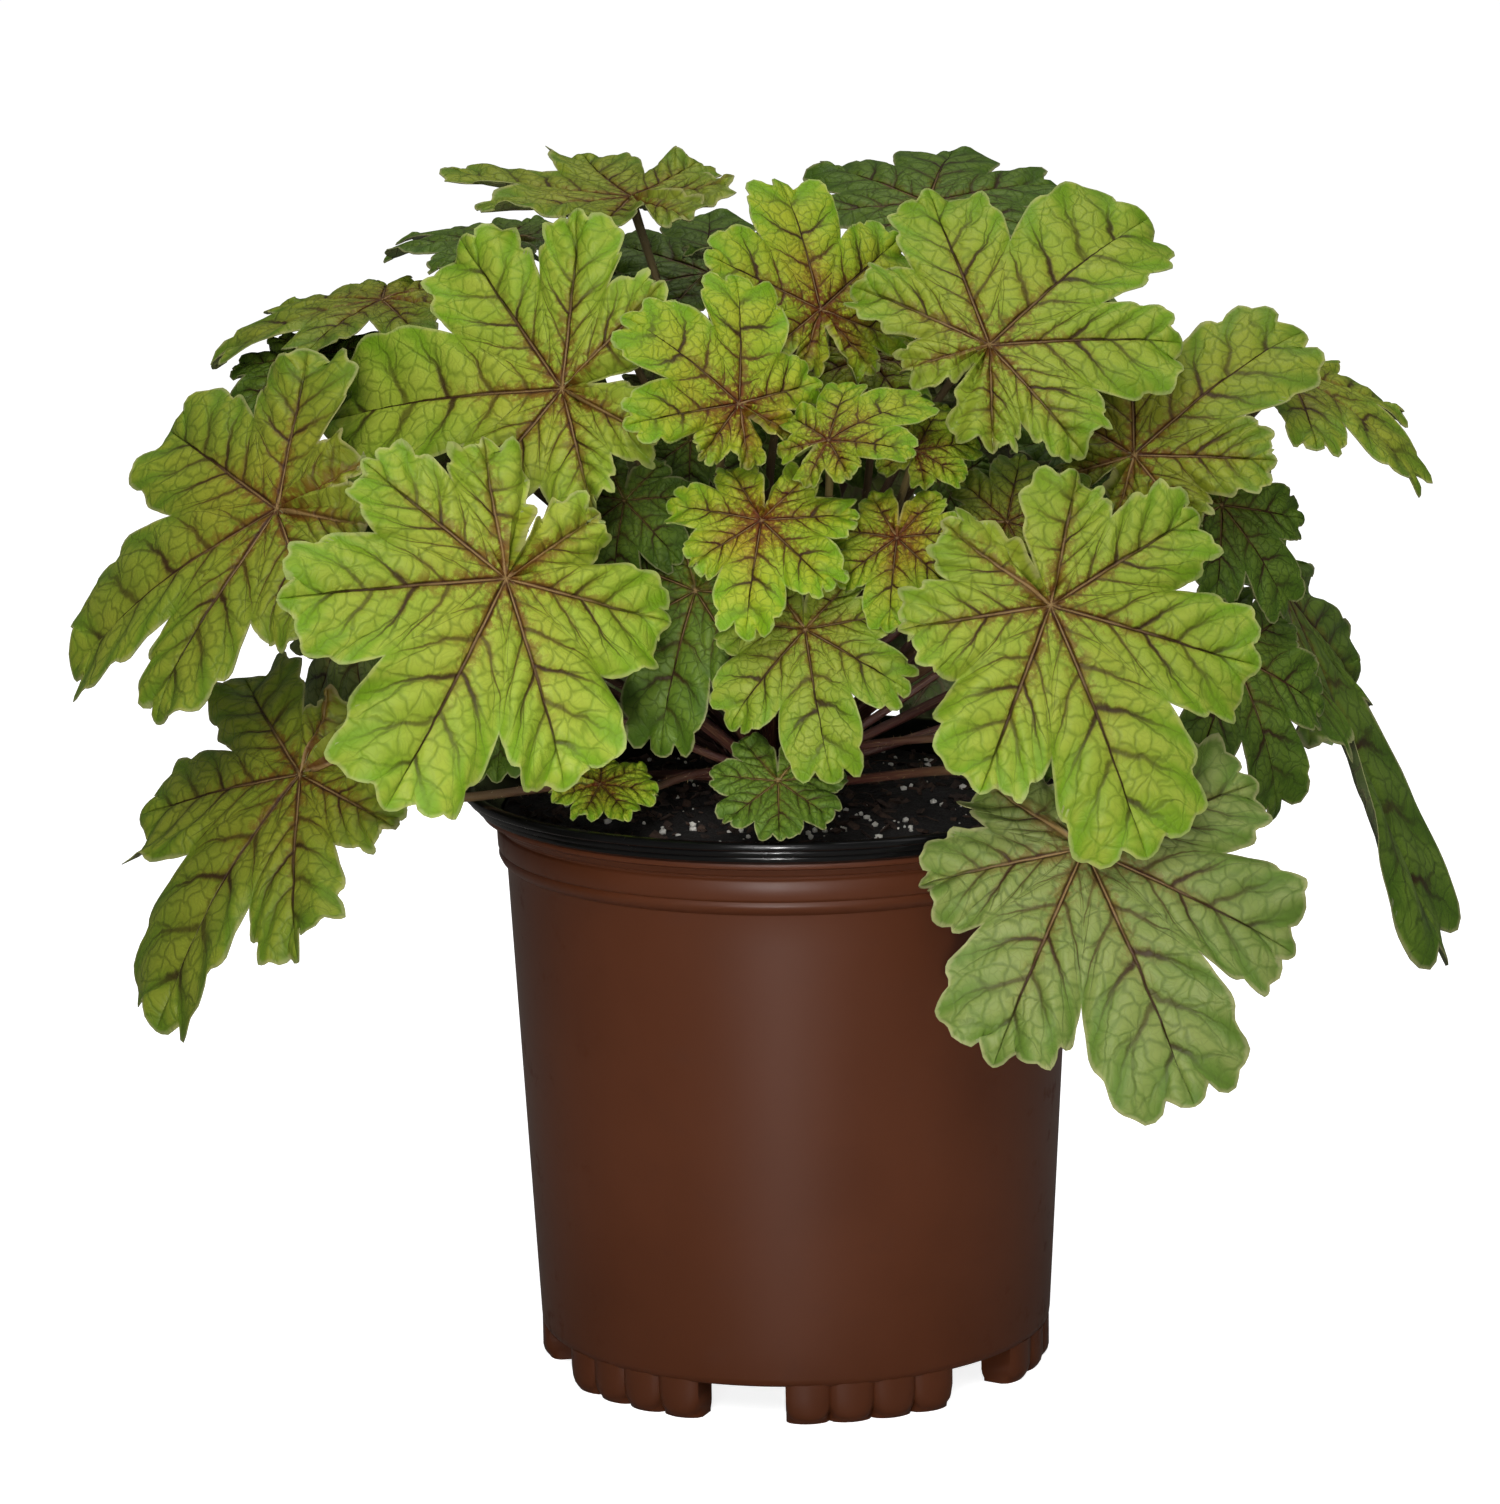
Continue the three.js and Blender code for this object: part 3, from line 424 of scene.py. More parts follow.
def half_lobe(one, lobe, side, teeth, rows, columns, draw):
    """Grid of points over half a lobe, its rows running out as the side veins do.

    Gives the points in the blade's plane, each row's place along the edge counted in veins,
    and each column's share of the way from midrib to edge.
    """
    axis = math.radians(LOBE_ANGLES[lobe] + one["swing"][lobe])
    length = LOBE_LENGTHS[lobe] * one["lobes"][lobe]
    notch_angle, notch = notch_place(one, lobe + (1 if side > 0 else 0))
    share = np.linspace(1, 0, 240)
    angle = axis + (notch_angle - axis) * share
    body = 1 - share ** one["full"]
    shoulders = SHOULDER * length * (np.abs(np.cos(2 * np.pi * share)) ** 0.7 - 0.6)
    shoulders *= (1 - share ** 4) * np.minimum(1, 0.45 + 1.6 * share)
    radius = notch + (length - notch) * body + shoulders
    outline = np.stack((radius * np.cos(angle), radius * np.sin(angle)), 1)
    walked = np.concatenate(([0], np.cumsum(np.linalg.norm(np.diff(outline, axis=0), axis=1))))
    steps = np.linspace(0, walked[-1], teeth * rows + 1)
    edge = np.stack([np.interp(steps, walked, outline[:, k]) for k in (0, 1)], 1)
    tangent = np.gradient(edge, axis=0)
    tangent /= np.linalg.norm(tangent, axis=1)[:, None]
    outward = side * np.stack((-tangent[:, 1], tangent[:, 0]), 1)
    veins = np.linspace(0, teeth, len(edge))
    off = 2 * np.abs(veins - np.round(veins))
    sizes = np.array([0.5 + 0.9 * next(draw) for _ in range(teeth)] + [0.8])
    tooth = 0.6 * np.sqrt(1 - off ** 2) + 0.4 * (1 - off) - 0.5
    tooth = tooth * sizes[np.round(veins).astype(int)] * np.clip((veins - 0.4) / 1.2, 0, 1)
    tooth = (TOOTH * tooth)[:, None]
    hooked = 0.9 * np.maximum(0, tooth) * np.clip(1.5 * (teeth - veins), 0, 1)[:, None]
    edge = edge + outward * tooth + tangent * hooked
    along = np.array((math.cos(axis), math.sin(axis)))
    tip = radius[-1] + 0.4 * TOOTH
    edge[-1] = along * tip
    corner = notch * np.array((math.cos(notch_angle), math.sin(notch_angle)))
    ray = np.linspace(0, 1, RAY_VEINS * rows + 1)[:-1, None] * corner
    border = np.concatenate((ray, edge))
    place_on_rib = np.linspace(0, 1, len(border)) ** 1.18
    midrib = (place_on_rib * tip)[:, None] * along
    across = (np.arange(columns + 1) / columns) ** 1.15
    reach = (border - midrib)[:, None, :]
    grid = midrib[:, None, :] + reach * across[None, :, None]
    bow = 0.22 * across * (1 - across)
    grid -= along * (bow[None, :] * np.linalg.norm(reach, axis=2))[..., None]
    vein = np.linspace(-RAY_VEINS, teeth, len(border))
    return grid, vein, across, along


def blade_height(one, flat, vein, across, margin, waves):
    """Height of the blade in spans: cup, droop, folds, puckers between the veins and waves."""
    x, y = flat[:, 0], flat[:, 1]
    radius = np.hypot(x, y)
    angle = np.degrees(np.arctan2(y, x))
    axes = np.array(LOBE_ANGLES) + np.array(one["swing"])
    off = np.min(np.abs(angle[:, None] - axes[None, :]), axis=1) / FOLD_WIDTH
    fold = off / (1 + off ** 4) ** 0.25
    shape = LOBE_FOLD * radius * fold - one["cup"] * radius ** 2
    shape -= one["droop"] * np.maximum(0, x) ** 3
    between = np.sin(np.pi * vein) ** 2 * (4 * across * (1 - across)) ** 0.7
    between *= np.clip((radius - 0.08) / 0.2, 0, 1) * np.clip(0.75 + 0.35 * vein, 0.15, 1)
    pucker = look().pucker / MM / one["span"] * between
    near_edge = np.clip(1 - margin / 0.16, 0, 1) ** 1.5
    turn = np.radians(angle)
    ruffle = sum(size * np.sin(count * turn + phase) for size, count, phase in waves)
    swell = 0.016 * radius * np.sin(2 * turn + waves[0][2])
    groove = 0.012 * np.exp(-(across / 0.07) ** 2) * np.clip(margin / 0.3, 0, 1) * (radius > 0)
    return shape + pucker + ruffle * near_edge + swell - groove


def blade_points(one, draw):
    """All half lobes of a leaf, welded into one sheet."""
    teeth, rows, columns, _ = DETAIL[one["detail"]]
    flats, marks, lobes, quads, edges = [], [], [], [], []
    base = 0
    for lobe in range(LOBES):
        for side in (-1, 1):
            grid, vein, across, along = half_lobe(one, lobe, side, teeth, rows, columns, draw)
            high, wide = grid.shape[:2]
            flat = grid.reshape(-1, 2)
            flats.append(flat)
            offset = flat[:, 1] * along[0] - flat[:, 0] * along[1]
            lobes.append(np.stack((flat @ along, offset), 1))
            shift = VEIN_STAGGER if side > 0 else 0.0
            marks.append(np.stack((np.repeat(vein, wide), np.tile(across, high),
                                   np.full(len(flat), shift)), 1))
            first = base + np.arange(high - 1)[:, None] * wide + np.arange(wide - 1)
            a, b = first.ravel(), (first + wide).ravel()
            ring = (a, b, b + 1, a + 1) if side > 0 else (a, a + 1, b + 1, b)
            quads.append(np.stack(ring, 1))
            edges.append(grid[RAY_VEINS * rows:, -1])
            base += len(flat)
    flats, lobes, marks = (np.concatenate(parts) for parts in (flats, lobes, marks))
    quads, edges = np.concatenate(quads), np.concatenate(edges)
    keys = np.round(flats * 1e5).astype(np.int64)
    _, chosen, welded = np.unique(keys, axis=0, return_index=True, return_inverse=True)
    welded = welded.ravel()
    flat = flats[chosen]
    margin = np.concatenate([
        np.min(np.linalg.norm(part[:, None] - edges[None], axis=2), axis=1)
        for part in np.array_split(flat, 8)])
    waves = [(0.018 + 0.016 * next(draw), count, 2 * math.pi * next(draw)) for count in (7, 12, 19)]
    height = blade_height(one, flat, marks[chosen, 0], marks[chosen, 1], margin, waves)
    return flats, lobes, marks, quads, welded, flat, margin, height


def sheet_normals(points, faces):
    """Average normal at each point of a sheet."""
    normals = np.zeros_like(points)
    for corners in ((0, 1, 2), (0, 2, 3)):
        p, q, r = (points[faces[:, k]] for k in corners)
        normal = np.cross(q - p, r - p)
        for k in corners:
            np.add.at(normals, faces[:, k], normal)
    return normals / np.maximum(np.linalg.norm(normals, axis=1), 1e-12)[:, None]


def add_blade(shape, one, draw):
    """Adds the upper face, the underside and the edge between them."""
    flats, lobes, marks, quads, welded, flat, margin, height = blade_points(one, draw)
    forward, left, face = leaf_frame(one)
    span = one["span"]
    middle = one["hub"] + span * (flat[:, :1] * forward + flat[:, 1:] * left
                                  + height[:, None] * face)
    corners = welded[quads]
    normal = sheet_normals(middle, corners)
    half = 0.5 * look().blade_thickness / MM * np.clip(0.45 + margin / 0.08, 0, 1)
    rib = np.zeros(len(flat))
    np.maximum.at(rib, welded, np.exp(-(np.abs(lobes[:, 1]) / 0.016) ** 2))
    rib *= 0.011 * span * np.clip(1 - np.hypot(flat[:, 0], flat[:, 1]) / 1.05, 0, 1)
    count = len(flat)
    shape.points.extend((middle + normal * half[:, None]).tolist())
    shape.points.extend((middle - normal * (half + rib)[:, None]).tolist())
    base = len(shape.points) - 2 * count
    bake = (flats - flat.min(0)) / np.ptp(flat, axis=0).max()
    seed = next(draw)
    shift = np.array((7 * next(draw), 7 * next(draw)))

    def maps(own, page, edge, beside):
        """Surface coordinates of corners, from the points of the half lobes that they are on."""
        own = np.array(own)
        return {
            "Lobe": lobes[own],
            "Vein": marks[own, :2] + beside * marks[own, 2:] * (1, 0),
            "Flat": flats[own] + shift,
            "Edge": np.stack((edge * margin[welded[own]], np.full(len(own), seed)), 1),
            "OFBake": bake[own] * 0.47 + (0.015 + 0.5 * page, 0.11),
        }

    faces, rings = [], []
    for corner, own in zip(corners.tolist(), quads.tolist()):
        keep = [k for k in range(4) if corner[k] != corner[k - 1]]
        faces.append([corner[k] for k in keep])
        rings.append([own[k] for k in keep])
    for page, turn in ((0, 1), (1, -1)):
        own = [i for whole in rings for i in whole[::turn]]
        shape.join([whole[::turn] for whole in faces], base + page * count, page,
                   maps(own, page, 1, 1))
    loose = {}
    for whole, own in zip(faces, rings):
        for k in range(len(whole)):
            if loose.pop((whole[k], whole[k - 1]), None) is None:
                loose[(whole[k - 1], whole[k])] = (own[k - 1], own[k])
    shape.join([(a + count, b + count, b, a) for a, b in loose], base, 0,
               maps([i for a, b in loose.values() for i in (a, b, b, a)], 0, 0, 0))


def stalk_path(one, root, steps):
    """Middle line of a stalk, from under the blade to just inside the crown."""
    forward, _, face = leaf_frame(one)
    hub = one["hub"] - face * BLADE / 2
    start = root * (crown_reach(root) + ROOT_GAP) + CROWN
    arrive = unit(forward * one["ahead"] + face * (STALK_UNDER - one["ahead"]))
    reach = np.linalg.norm(hub - start)
    first = start + root * STALK_RISE * reach + one["via"]
    last = hub - arrive * STALK_RISE * reach
    t = np.linspace(0, 1, steps)[:, None]
    path = ((1 - t) ** 3 * hub + 3 * t * (1 - t) ** 2 * last + 3 * t ** 2 * (1 - t) * first
            + t ** 3 * start)
    return np.concatenate((path, [start - root * 1.2]))


def add_stalk(shape, one, root, draw):
    """Adds the stalk, swollen at both ends, and the fine hairs that stand out from it."""
    path = stalk_path(one, root, DETAIL[one["detail"]][3])
    share = np.linspace(0, 1, len(path))
    thick = look().stalk_radius / MM * (0.8 + 0.2 * one["span"] / 60)
    radii = thick * (0.86 + 0.14 * share + 0.5 * np.exp(-((1 - share) / 0.07) ** 2)
                     + 0.25 * np.exp(-(share / 0.05) ** 2))
    points, faces, where = sweep(path, radii, 9)
    where = where[[i for face in faces for i in face]]
    shape.add(points, faces, 2, {"Lobe": where, "OFBake": where * (0.96, 0.075) + (0.02, 0.01)})
    hairs, hair_faces, where = [], [], []
    for base in range(0, 4 * look().hairs, 4):
        place_on = 0.5 + (len(path) - 4) * next(draw)
        k = int(place_on)
        centre = path[k] + (path[k + 1] - path[k]) * (place_on - k)
        tangent = unit(path[k + 1] - path[k])
        aside = unit(np.cross(tangent, [next(draw) - 0.5 for _ in range(3)]))
        bend = unit(aside + tangent * (next(draw) - 0.5))
        foot = centre + aside * radii[k] * 0.85
        other = np.cross(tangent, aside) * 0.055
        hairs += [foot + tangent * 0.05, foot - tangent * 0.03 + other,
                  foot - tangent * 0.03 - other, foot + bend * (0.7 + 0.9 * next(draw))]
        hair_faces += [(base, base + 2, base + 1), (base, base + 1, base + 3),
                       (base + 1, base + 2, base + 3), (base + 2, base, base + 3)]
        where += [(k / len(path), 0)] * 12
    where = np.array(where)
    shape.add(hairs, hair_faces, 3, {"Lobe": where, "OFBake": where * (0.96, 0) + (0.02, 0.004)})


def build_leaf(one, root, seed):
    """One leaf on its stalk, in place of its solid."""
    draw = seeded(seed)
    for _ in range(5):
        next(draw)
    shape = Shape(MAPS)
    add_blade(shape, one, draw)
    add_stalk(shape, one, root, draw)
    tone = one["tone"]
    finishes = [finish(f"leaf_{tone}_face", leaf_face, tone),
                finish(f"leaf_{tone}_underside", leaf_underside, tone),
                finish("stalk", stalk_skin), finish("stalk_hair", hair_skin)]
    piece = shape.build(f"dressed_{one['name']}", finishes, sharp=60)
    return place(piece, f"leaf_{tone}", f"leaf_{one['name']}")


def build_leaves(detail):
    """Every leaf of one size."""
    leaves = LEAVES + back_leaves()
    roots = stalk_roots(leaves)
    for number, one in enumerate(leaves):
        if one["detail"] == detail:
            build_leaf(one, roots[one["name"]], LEAF_SEED + LEAF_SEED_STEP * number)


def colour(code):
    """Linear colour of a hex code."""
    parts = [int(code[k:k + 2], 16) / 255 for k in (1, 3, 5)]
    return tuple(c / 12.92 if c <= 0.04045 else ((c + 0.055) / 1.055) ** 2.4 for c in parts)


class Mask:
    """A value in a node tree. Sums, products and fades of masks add the nodes that they take."""

    def __init__(self, socket):
        self.socket = socket

    def node(self, kind, inputs, out=0, **settings):
        return add(self.socket.id_data, kind, inputs, out, **settings)

    def calc(self, operation, *others):
        return self.node("ShaderNodeMath", dict(enumerate((self, *others))), operation=operation)

    def __add__(self, other):
        return self.calc("ADD", other)

    def __sub__(self, other):
        return self.calc("SUBTRACT", other)

    def __rsub__(self, other):
        return self * -1.0 + other

    def __mul__(self, other):
        return self.calc("MULTIPLY", other)

    def __abs__(self):
        return self.calc("ABSOLUTE")

    def fade(self, low, high, start=0.0, end=1.0):
        """Smooth step from start to end as the value goes from low to high."""
        return self.node("ShaderNodeMapRange",
                         {"Value": self, "From Min": low, "From Max": high, "To Min": start,
                          "To Max": end}, interpolation_type="SMOOTHSTEP")

    def split(self):
        """First and second part of a vector."""
        return [self.node("ShaderNodeSeparateXYZ", {0: self}, out) for out in (0, 1)]

    def stretched(self, scale):
        return self.node("ShaderNodeMapping", {"Vector": self, "Scale": scale})

    def cloud(self, scale, detail=3.0, rough=0.55):
        """Noise from 0 to 1 at the place that a vector gives."""
        return self.node("ShaderNodeTexNoise", {"Vector": self, "Scale": scale, "Detail": detail,
                                                "Roughness": rough})

    def cells(self, scale):
        """Distance to the edge of the cell that a vector is in."""
        return self.node("ShaderNodeTexVoronoi", {"Vector": self, "Scale": scale}, "Distance",
                         voronoi_dimensions="2D", feature="DISTANCE_TO_EDGE")

    def bump(self, distance, strength=1.0):
        """Normal of a surface raised by the value."""
        return self.node("ShaderNodeBump", {"Height": self, "Distance": distance,
                                            "Strength": strength})


def add(tree, kind, inputs, out=0, **settings):
    """Adds a node, sets it, feeds its inputs from values or masks, and gives one output."""
    node = tree.nodes.new(kind)
    for key, value in settings.items():
        setattr(node, key, value)
    for key, value in inputs.items():
        feed(node.inputs[key], value)
    return Mask(node.outputs[out])


def feed(socket, value):
    """Links a mask to a socket, or sets the socket."""
    if isinstance(value, Mask):
        socket.id_data.links.new(value.socket, socket)
    else:
        socket.default_value = (*value, 1.0) if socket.type == "RGBA" else value


def layered(base, *layers):
    """A colour with others laid over it, each through its mask."""
    for mask, tone in layers:
        base = mask.node("ShaderNodeMix", {0: mask, 6: base, 7: tone}, 2, data_type="RGBA")
    return base


def uv(tree, name):
    return add(tree, "ShaderNodeUVMap", {}, uv_map=name)


def shared(tree, work_out, given):
    """Masks of a node group, which a function works out once from the group's named inputs."""
    group = bpy.data.node_groups.get(work_out.__name__)
    if group is None:
        group = bpy.data.node_groups.new(work_out.__name__, "ShaderNodeTree")
        for key in given:
            group.interface.new_socket(key, in_out="INPUT", socket_type="NodeSocketFloat")
        inputs = group.nodes.new("NodeGroupInput").outputs
        masks = work_out(group, *(Mask(inputs[key]) for key in given))
        for key in masks:
            group.interface.new_socket(key, in_out="OUTPUT", socket_type="NodeSocketFloat")
        result = group.nodes.new("NodeGroupOutput")
        for key, mask in masks.items():
            feed(result.inputs[key], mask)
    node = add(tree, "ShaderNodeGroup", given, node_tree=group).socket.node
    return {socket.name: Mask(socket) for socket in node.outputs}


def vein_pattern(tree, width, reach):
    """Masks of a leaf's veins, read from its surface coordinates."""
    flat = uv(tree, "Flat")
    wander = flat.cloud(7.0, 2.0) - 0.5
    ragged = flat.cloud(26.0, 5.0, 0.7)
    along, offset = uv(tree, "Lobe").split()
    edge, seed = uv(tree, "Edge").split()

    # Main vein of each lobe, its pale middle line and its stain
    off = abs(wander * 0.016 + offset)
    taper = along.fade(0.0, 1.0, 1.0, 0.12) * width
    main = off.fade(taper * 0.004, taper * 0.016, 1.0, 0.0) * edge.fade(0.0, 0.2, 0.1, 1.0)
    line = abs(offset).fade(0.001, 0.006, 1.0, 0.0) * along.fade(0.1, 0.55, 1.0, 0.0)
    blotch = ragged.fade(0.36, 0.64, 0.15, 1.1)
    halo = along.fade(0.2, 0.9, 0.085, 0.03) * blotch * reach
    near = along.fade(0.05, 0.85, 1.0, 0.0)
    stain = off.fade(0.0, halo, 1.0, 0.0) * near

    # Side veins, one to each row, which fork on their way to the edge
    row, share = uv(tree, "Vein").split()
    row = row + wander * 0.5 + (ragged - 0.5) * 0.12
    nearest = row.calc("ROUND")
    apart = abs(row - nearest)
    thin = share.fade(0.0, 1.0, 1.0, 0.3) * width
    keep = nearest.calc("PINGPONG", 1.0).fade(0.0, 1.0, 0.7, 1.0)
    keep = keep * row.fade(-1.6, 0.2, 0.35, 1.0) * edge.fade(0.0, 0.16, 0.15, 1.0)
    branch = apart.fade(thin * 0.02, thin * 0.12, 1.0, 0.0) * keep
    prong = abs(apart - share.fade(0.28, 1.0) * 0.5).fade(thin * 0.015, thin * 0.1, 0.65, 0.0)
    branch = branch.calc("MAXIMUM", prong * keep * share.fade(0.28, 0.36))
    side_halo = share.fade(0.0, 0.85, 0.42, 0.1) * blotch
    side_stain = apart.fade(0.0, side_halo, 0.85, 0.0) * keep * near * reach

    # Net of fine veins round pale cells; on the upper face the cells' pale middles are partly
    # painted highlight on the puckers
    bent = flat.node("ShaderNodeTexNoise", {"Vector": flat, "Scale": 9.0, "Detail": 2.0}, 1)
    bent = bent.node("ShaderNodeVectorMath", {0: bent, 1: (0.1, 0.1, 0.0), 2: flat},
                     operation="MULTIPLY_ADD")
    cells = bent.cells(14.0)
    # Pale middle of each cell, away from the side veins where the puckers rise: partly the blade's
    # paler tissue, partly painted highlight
    cell = cells.fade(0.0, 0.22, 0.45, 1.0) * apart.fade(0.05, 0.38)
    return {
        "Main": main,
        "Line": line,
        "Stain": stain.calc("MAXIMUM", side_stain),
        "Branch": branch,
        "Net": cells.fade(0.0, 0.13, 1.0, 0.0),
        "Fine": bent.cells(38.0).fade(0.0, 0.2, 1.0, 0.0),
        "Cell": cell * (1 - main.calc("MAXIMUM", branch)),
        "Outer": edge.fade(0.02, 0.24, 1.0, 0.0) * along.fade(0.2, 0.65),
        "Heart": along.fade(0.15, 0.6, 1.0, 0.0),
        "Rim": edge.fade(0.002, 0.016, 1.0, 0.0),
        "Leaf": seed,
        "Mottle": flat.cloud(3.2, 4.0),
        "Flush": flat.cloud(1.7, 2.0),
    }


def grain(tree, scale):
    """Fine speckle in object space, for soil, wood and plastic."""
    where = add(tree, "ShaderNodeTexCoord", {}, "Object")
    return {"Coarse": where.cloud(scale), "Fine": where.cloud(scale * 4.0, 4.0, 0.7)}


def finish(name, paint, *given):
    """A material with one Principled shader, made once: paint gives what the shader takes."""
    material = bpy.data.materials.get(name)
    if material is None:
        material = bpy.data.materials.new(name)
        material.use_nodes = True
        tree = material.node_tree
        for key, value in paint(tree, *given).items():
            feed(tree.nodes["Principled BSDF"].inputs[key], value)
    return material


# Tone: centre, edge, cell middle (pale, partly painted highlight on the puckers), side vein, then
# strength and reach of the stain, and the flush
TONES = {
    "young": ("#8b9722", "#6b9312", "#9ea72b", "#485212", 1.0, 1.9, 0.5),
    "fresh": ("#849229", "#678a17", "#929e38", "#445313", 0.9, 1.0, 0.12),
    "olive": ("#70781e", "#587318", "#828a2a", "#3a420f", 0.85, 1.0, 0.12),
    "grey": ("#687438", "#516a24", "#788246", "#37431d", 0.65, 0.9, 0.0),
    # The dark tone is the inner, low and back leaves' own deeper green with painted shade in it,
    # for leaves that sit in the plant's shadow
    "dark": ("#4c621b", "#3e5911", "#5b7223", "#26330d", 0.5, 0.8, 0.03),
}


def leaf_face(tree, tone):
    """Upper face: pale cells in a green net, their pale middles partly painted highlight on the
    puckers, brown stained veins, greener towards the edge.
    """
    centre, edge, cell, side = (colour(code) for code in TONES[tone][:4])
    stained, reach, flushed = TONES[tone][4:]
    veins = shared(tree, vein_pattern, {"Vein width": 1.0, "Stain reach": reach})
    outer = veins["Outer"]
    dark = layered(look().vein, (outer, side))
    base = layered(centre, (outer, edge),
                   # Pale cell middles: partly the blade's own paler tissue, partly painted
                   # highlight on the puckers
                   (veins["Cell"] * 0.75, cell),
                   (veins["Mottle"].fade(0.38, 0.68) * 0.35, edge),
                   (veins["Flush"].fade(0.46, 0.66) * veins["Heart"] * flushed, look().flush),
                   (veins["Fine"] * 0.1, side),
                   ((1 - outer).fade(0.0, 1.0, 0.16, 0.4) * veins["Net"], side),
                   (veins["Stain"] * stained, look().stain),
                   (veins["Branch"] * 0.9, dark),
                   (veins["Main"] * 0.95, dark),
                   (veins["Line"] * 0.6, look().midrib),
                   (veins["Rim"] * 0.3, look().hair))
    warm = veins["Leaf"].fade(0.0, 1.0, 0.86, 1.1)
    height = (veins["Cell"] * 0.3 - veins["Net"] * 0.2 - veins["Branch"] * 0.7 - veins["Main"]
              - veins["Fine"] * 0.12 + veins["Line"] * 0.4)
    return {
        "Base Color": base.node("ShaderNodeHueSaturation", {"Value": warm, "Color": base}),
        "Roughness": veins["Mottle"] * 0.16 + veins["Net"] * 0.06 - veins["Cell"] * 0.05 + 0.42,
        "Specular IOR Level": 0.18,
        "Normal": height.bump(0.0005, 0.7),
    }


def leaf_underside(tree, tone):
    """Underside: pale grey-green with raised purple-brown veins."""
    centre, edge, cell = (colour(code) for code in TONES[tone][:3])
    veins = shared(tree, vein_pattern, {"Vein width": 1.3, "Stain reach": 0.6})
    base = layered([(a + b) / 2 for a, b in zip(centre, look().underside)],
                   (veins["Cell"] * 0.4, cell),
                   (veins["Mottle"] * 0.35, edge),
                   (veins["Net"] * 0.35, look().under_vein),
                   (veins["Branch"] * 0.6, look().under_vein),
                   (veins["Main"] * 0.85, look().under_vein))
    height = (veins["Net"] * 0.4 - veins["Cell"] * 0.4 + veins["Branch"] * 0.8 + veins["Main"]
              + veins["Fine"] * 0.1)
    return {
        "Base Color": base,
        "Roughness": veins["Mottle"].fade(0.2, 0.8, 0.55, 0.75),
        "Normal": height.bump(0.0006, 0.8),
    }


def stalk_skin(tree):
    """Stalk: green-tan under the blade, red-brown towards the crown, streaked along."""
    where = uv(tree, "Lobe")
    streak = where.stretched((4.0, 9.0, 1.0)).cloud(2.5, 4.0, 0.6)
    reach = where.split()[0] - 0.25 + streak * 0.5
    return {
        "Base Color": layered(look().stalk_top, (reach.fade(0.05, 0.75), look().stalk_foot),
                              (streak.fade(0.5, 0.75, 0.0, 0.45), look().midrib)),
        "Roughness": streak.fade(0.2, 0.8, 0.45, 0.65),
        "Normal": streak.bump(0.0004, 0.6),
    }


def hair_skin(tree):
    """Fine pale hairs on the stalks."""
    along = uv(tree, "Lobe").split()[0]
    return {"Base Color": layered(look().hair, (along.fade(0.2, 0.9), look().midrib)),
            "Roughness": 0.6}


def pot_plastic(tree, tint, rough, scratch):
    """Moulded plastic: even colour with faint flow marks, dust and scuffs."""
    marks = shared(tree, grain, {"Scale": 26.0})
    where = add(tree, "ShaderNodeTexCoord", {}, "Object")
    streak = where.stretched((14.0, 14.0, 6.0)).cloud(1.0, 4.0, 0.6)
    light = [c * 1.12 + 0.002 for c in tint]
    dark = [c * 0.86 for c in tint]
    return {
        "Base Color": layered(tint, (streak.fade(0.3, 0.7), light),
                              (marks["Coarse"].fade(0.42, 0.72, 0.0, 0.5), dark)),
        "Roughness": marks["Fine"].fade(0.55, 0.75) * scratch + rough,
        "Specular IOR Level": 0.2,
        "Normal": (streak * 0.5 + marks["Fine"] * 0.3).bump(0.0002, 0.35),
    }


def pot_profile():
    """Radius and height from the floor's inside, up the wall, over the rim and down outside."""
    band_inside = BAND_RADIUS - WALL
    foot = WALL_BASE_RADIUS + WALL_SLOPE * WALL - WALL
    inside = [(0, FLOOR_Z + WALL), (foot - 3, FLOOR_Z + WALL), (foot - 0.8, FLOOR_Z + WALL + 0.5),
              (foot, FLOOR_Z + WALL + 2.5), (WALL_TOP_RADIUS - WALL, WALL_TOP_Z),
              (band_inside, WALL_TOP_Z + 3), (band_inside + 0.4, 143), (75.6, 145.6), (76.6, 147),
              (78.6, 149.2), (79.4, 149.9)]
    lip = [(RIM_RADIUS + out, z) for out, z in (
        (-2.1, POT_HEIGHT), (-0.8, POT_HEIGHT), (-0.2, 149.7), (0, 149.1), (-0.1, 148.4),
        (-0.6, 148))]
    ribs = [(radius + out, high - down)
            for radius, high in ((80.9, 147.9), (79.1, 146.1), (77.4, 144))
            for out, down in ((0, 0.1), (0.15, 0.5), (-0.1, 1.3), (-0.9, 1.75))]
    band = [(BAND_RADIUS + out, z) for out, z in (
        (0.4, 143.6), (0.2, 140.6), (-0.1, 140.1), (-0.6, 139.9), (-0.7, 139.3), (-0.2, 138.9),
        (0, 138.5), (-0.2, 134.4), (-0.4, 133.9), (-0.8, 133.6), (-0.5, 133.2), (-0.4, 132.2),
        (-1, 131), (-2.2, 130.1))]
    wall = [(WALL_TOP_RADIUS + (z - WALL_TOP_Z) * WALL_SLOPE, z) for z in range(128, 14, -6)]
    bottom = [(WALL_BASE_RADIUS + 0.1, 12), (WALL_BASE_RADIUS - 0.1, 10.6),
              (WALL_BASE_RADIUS - 0.7, FLOOR_Z), (0, FLOOR_Z)]
    return inside + lip + ribs + band + wall + bottom


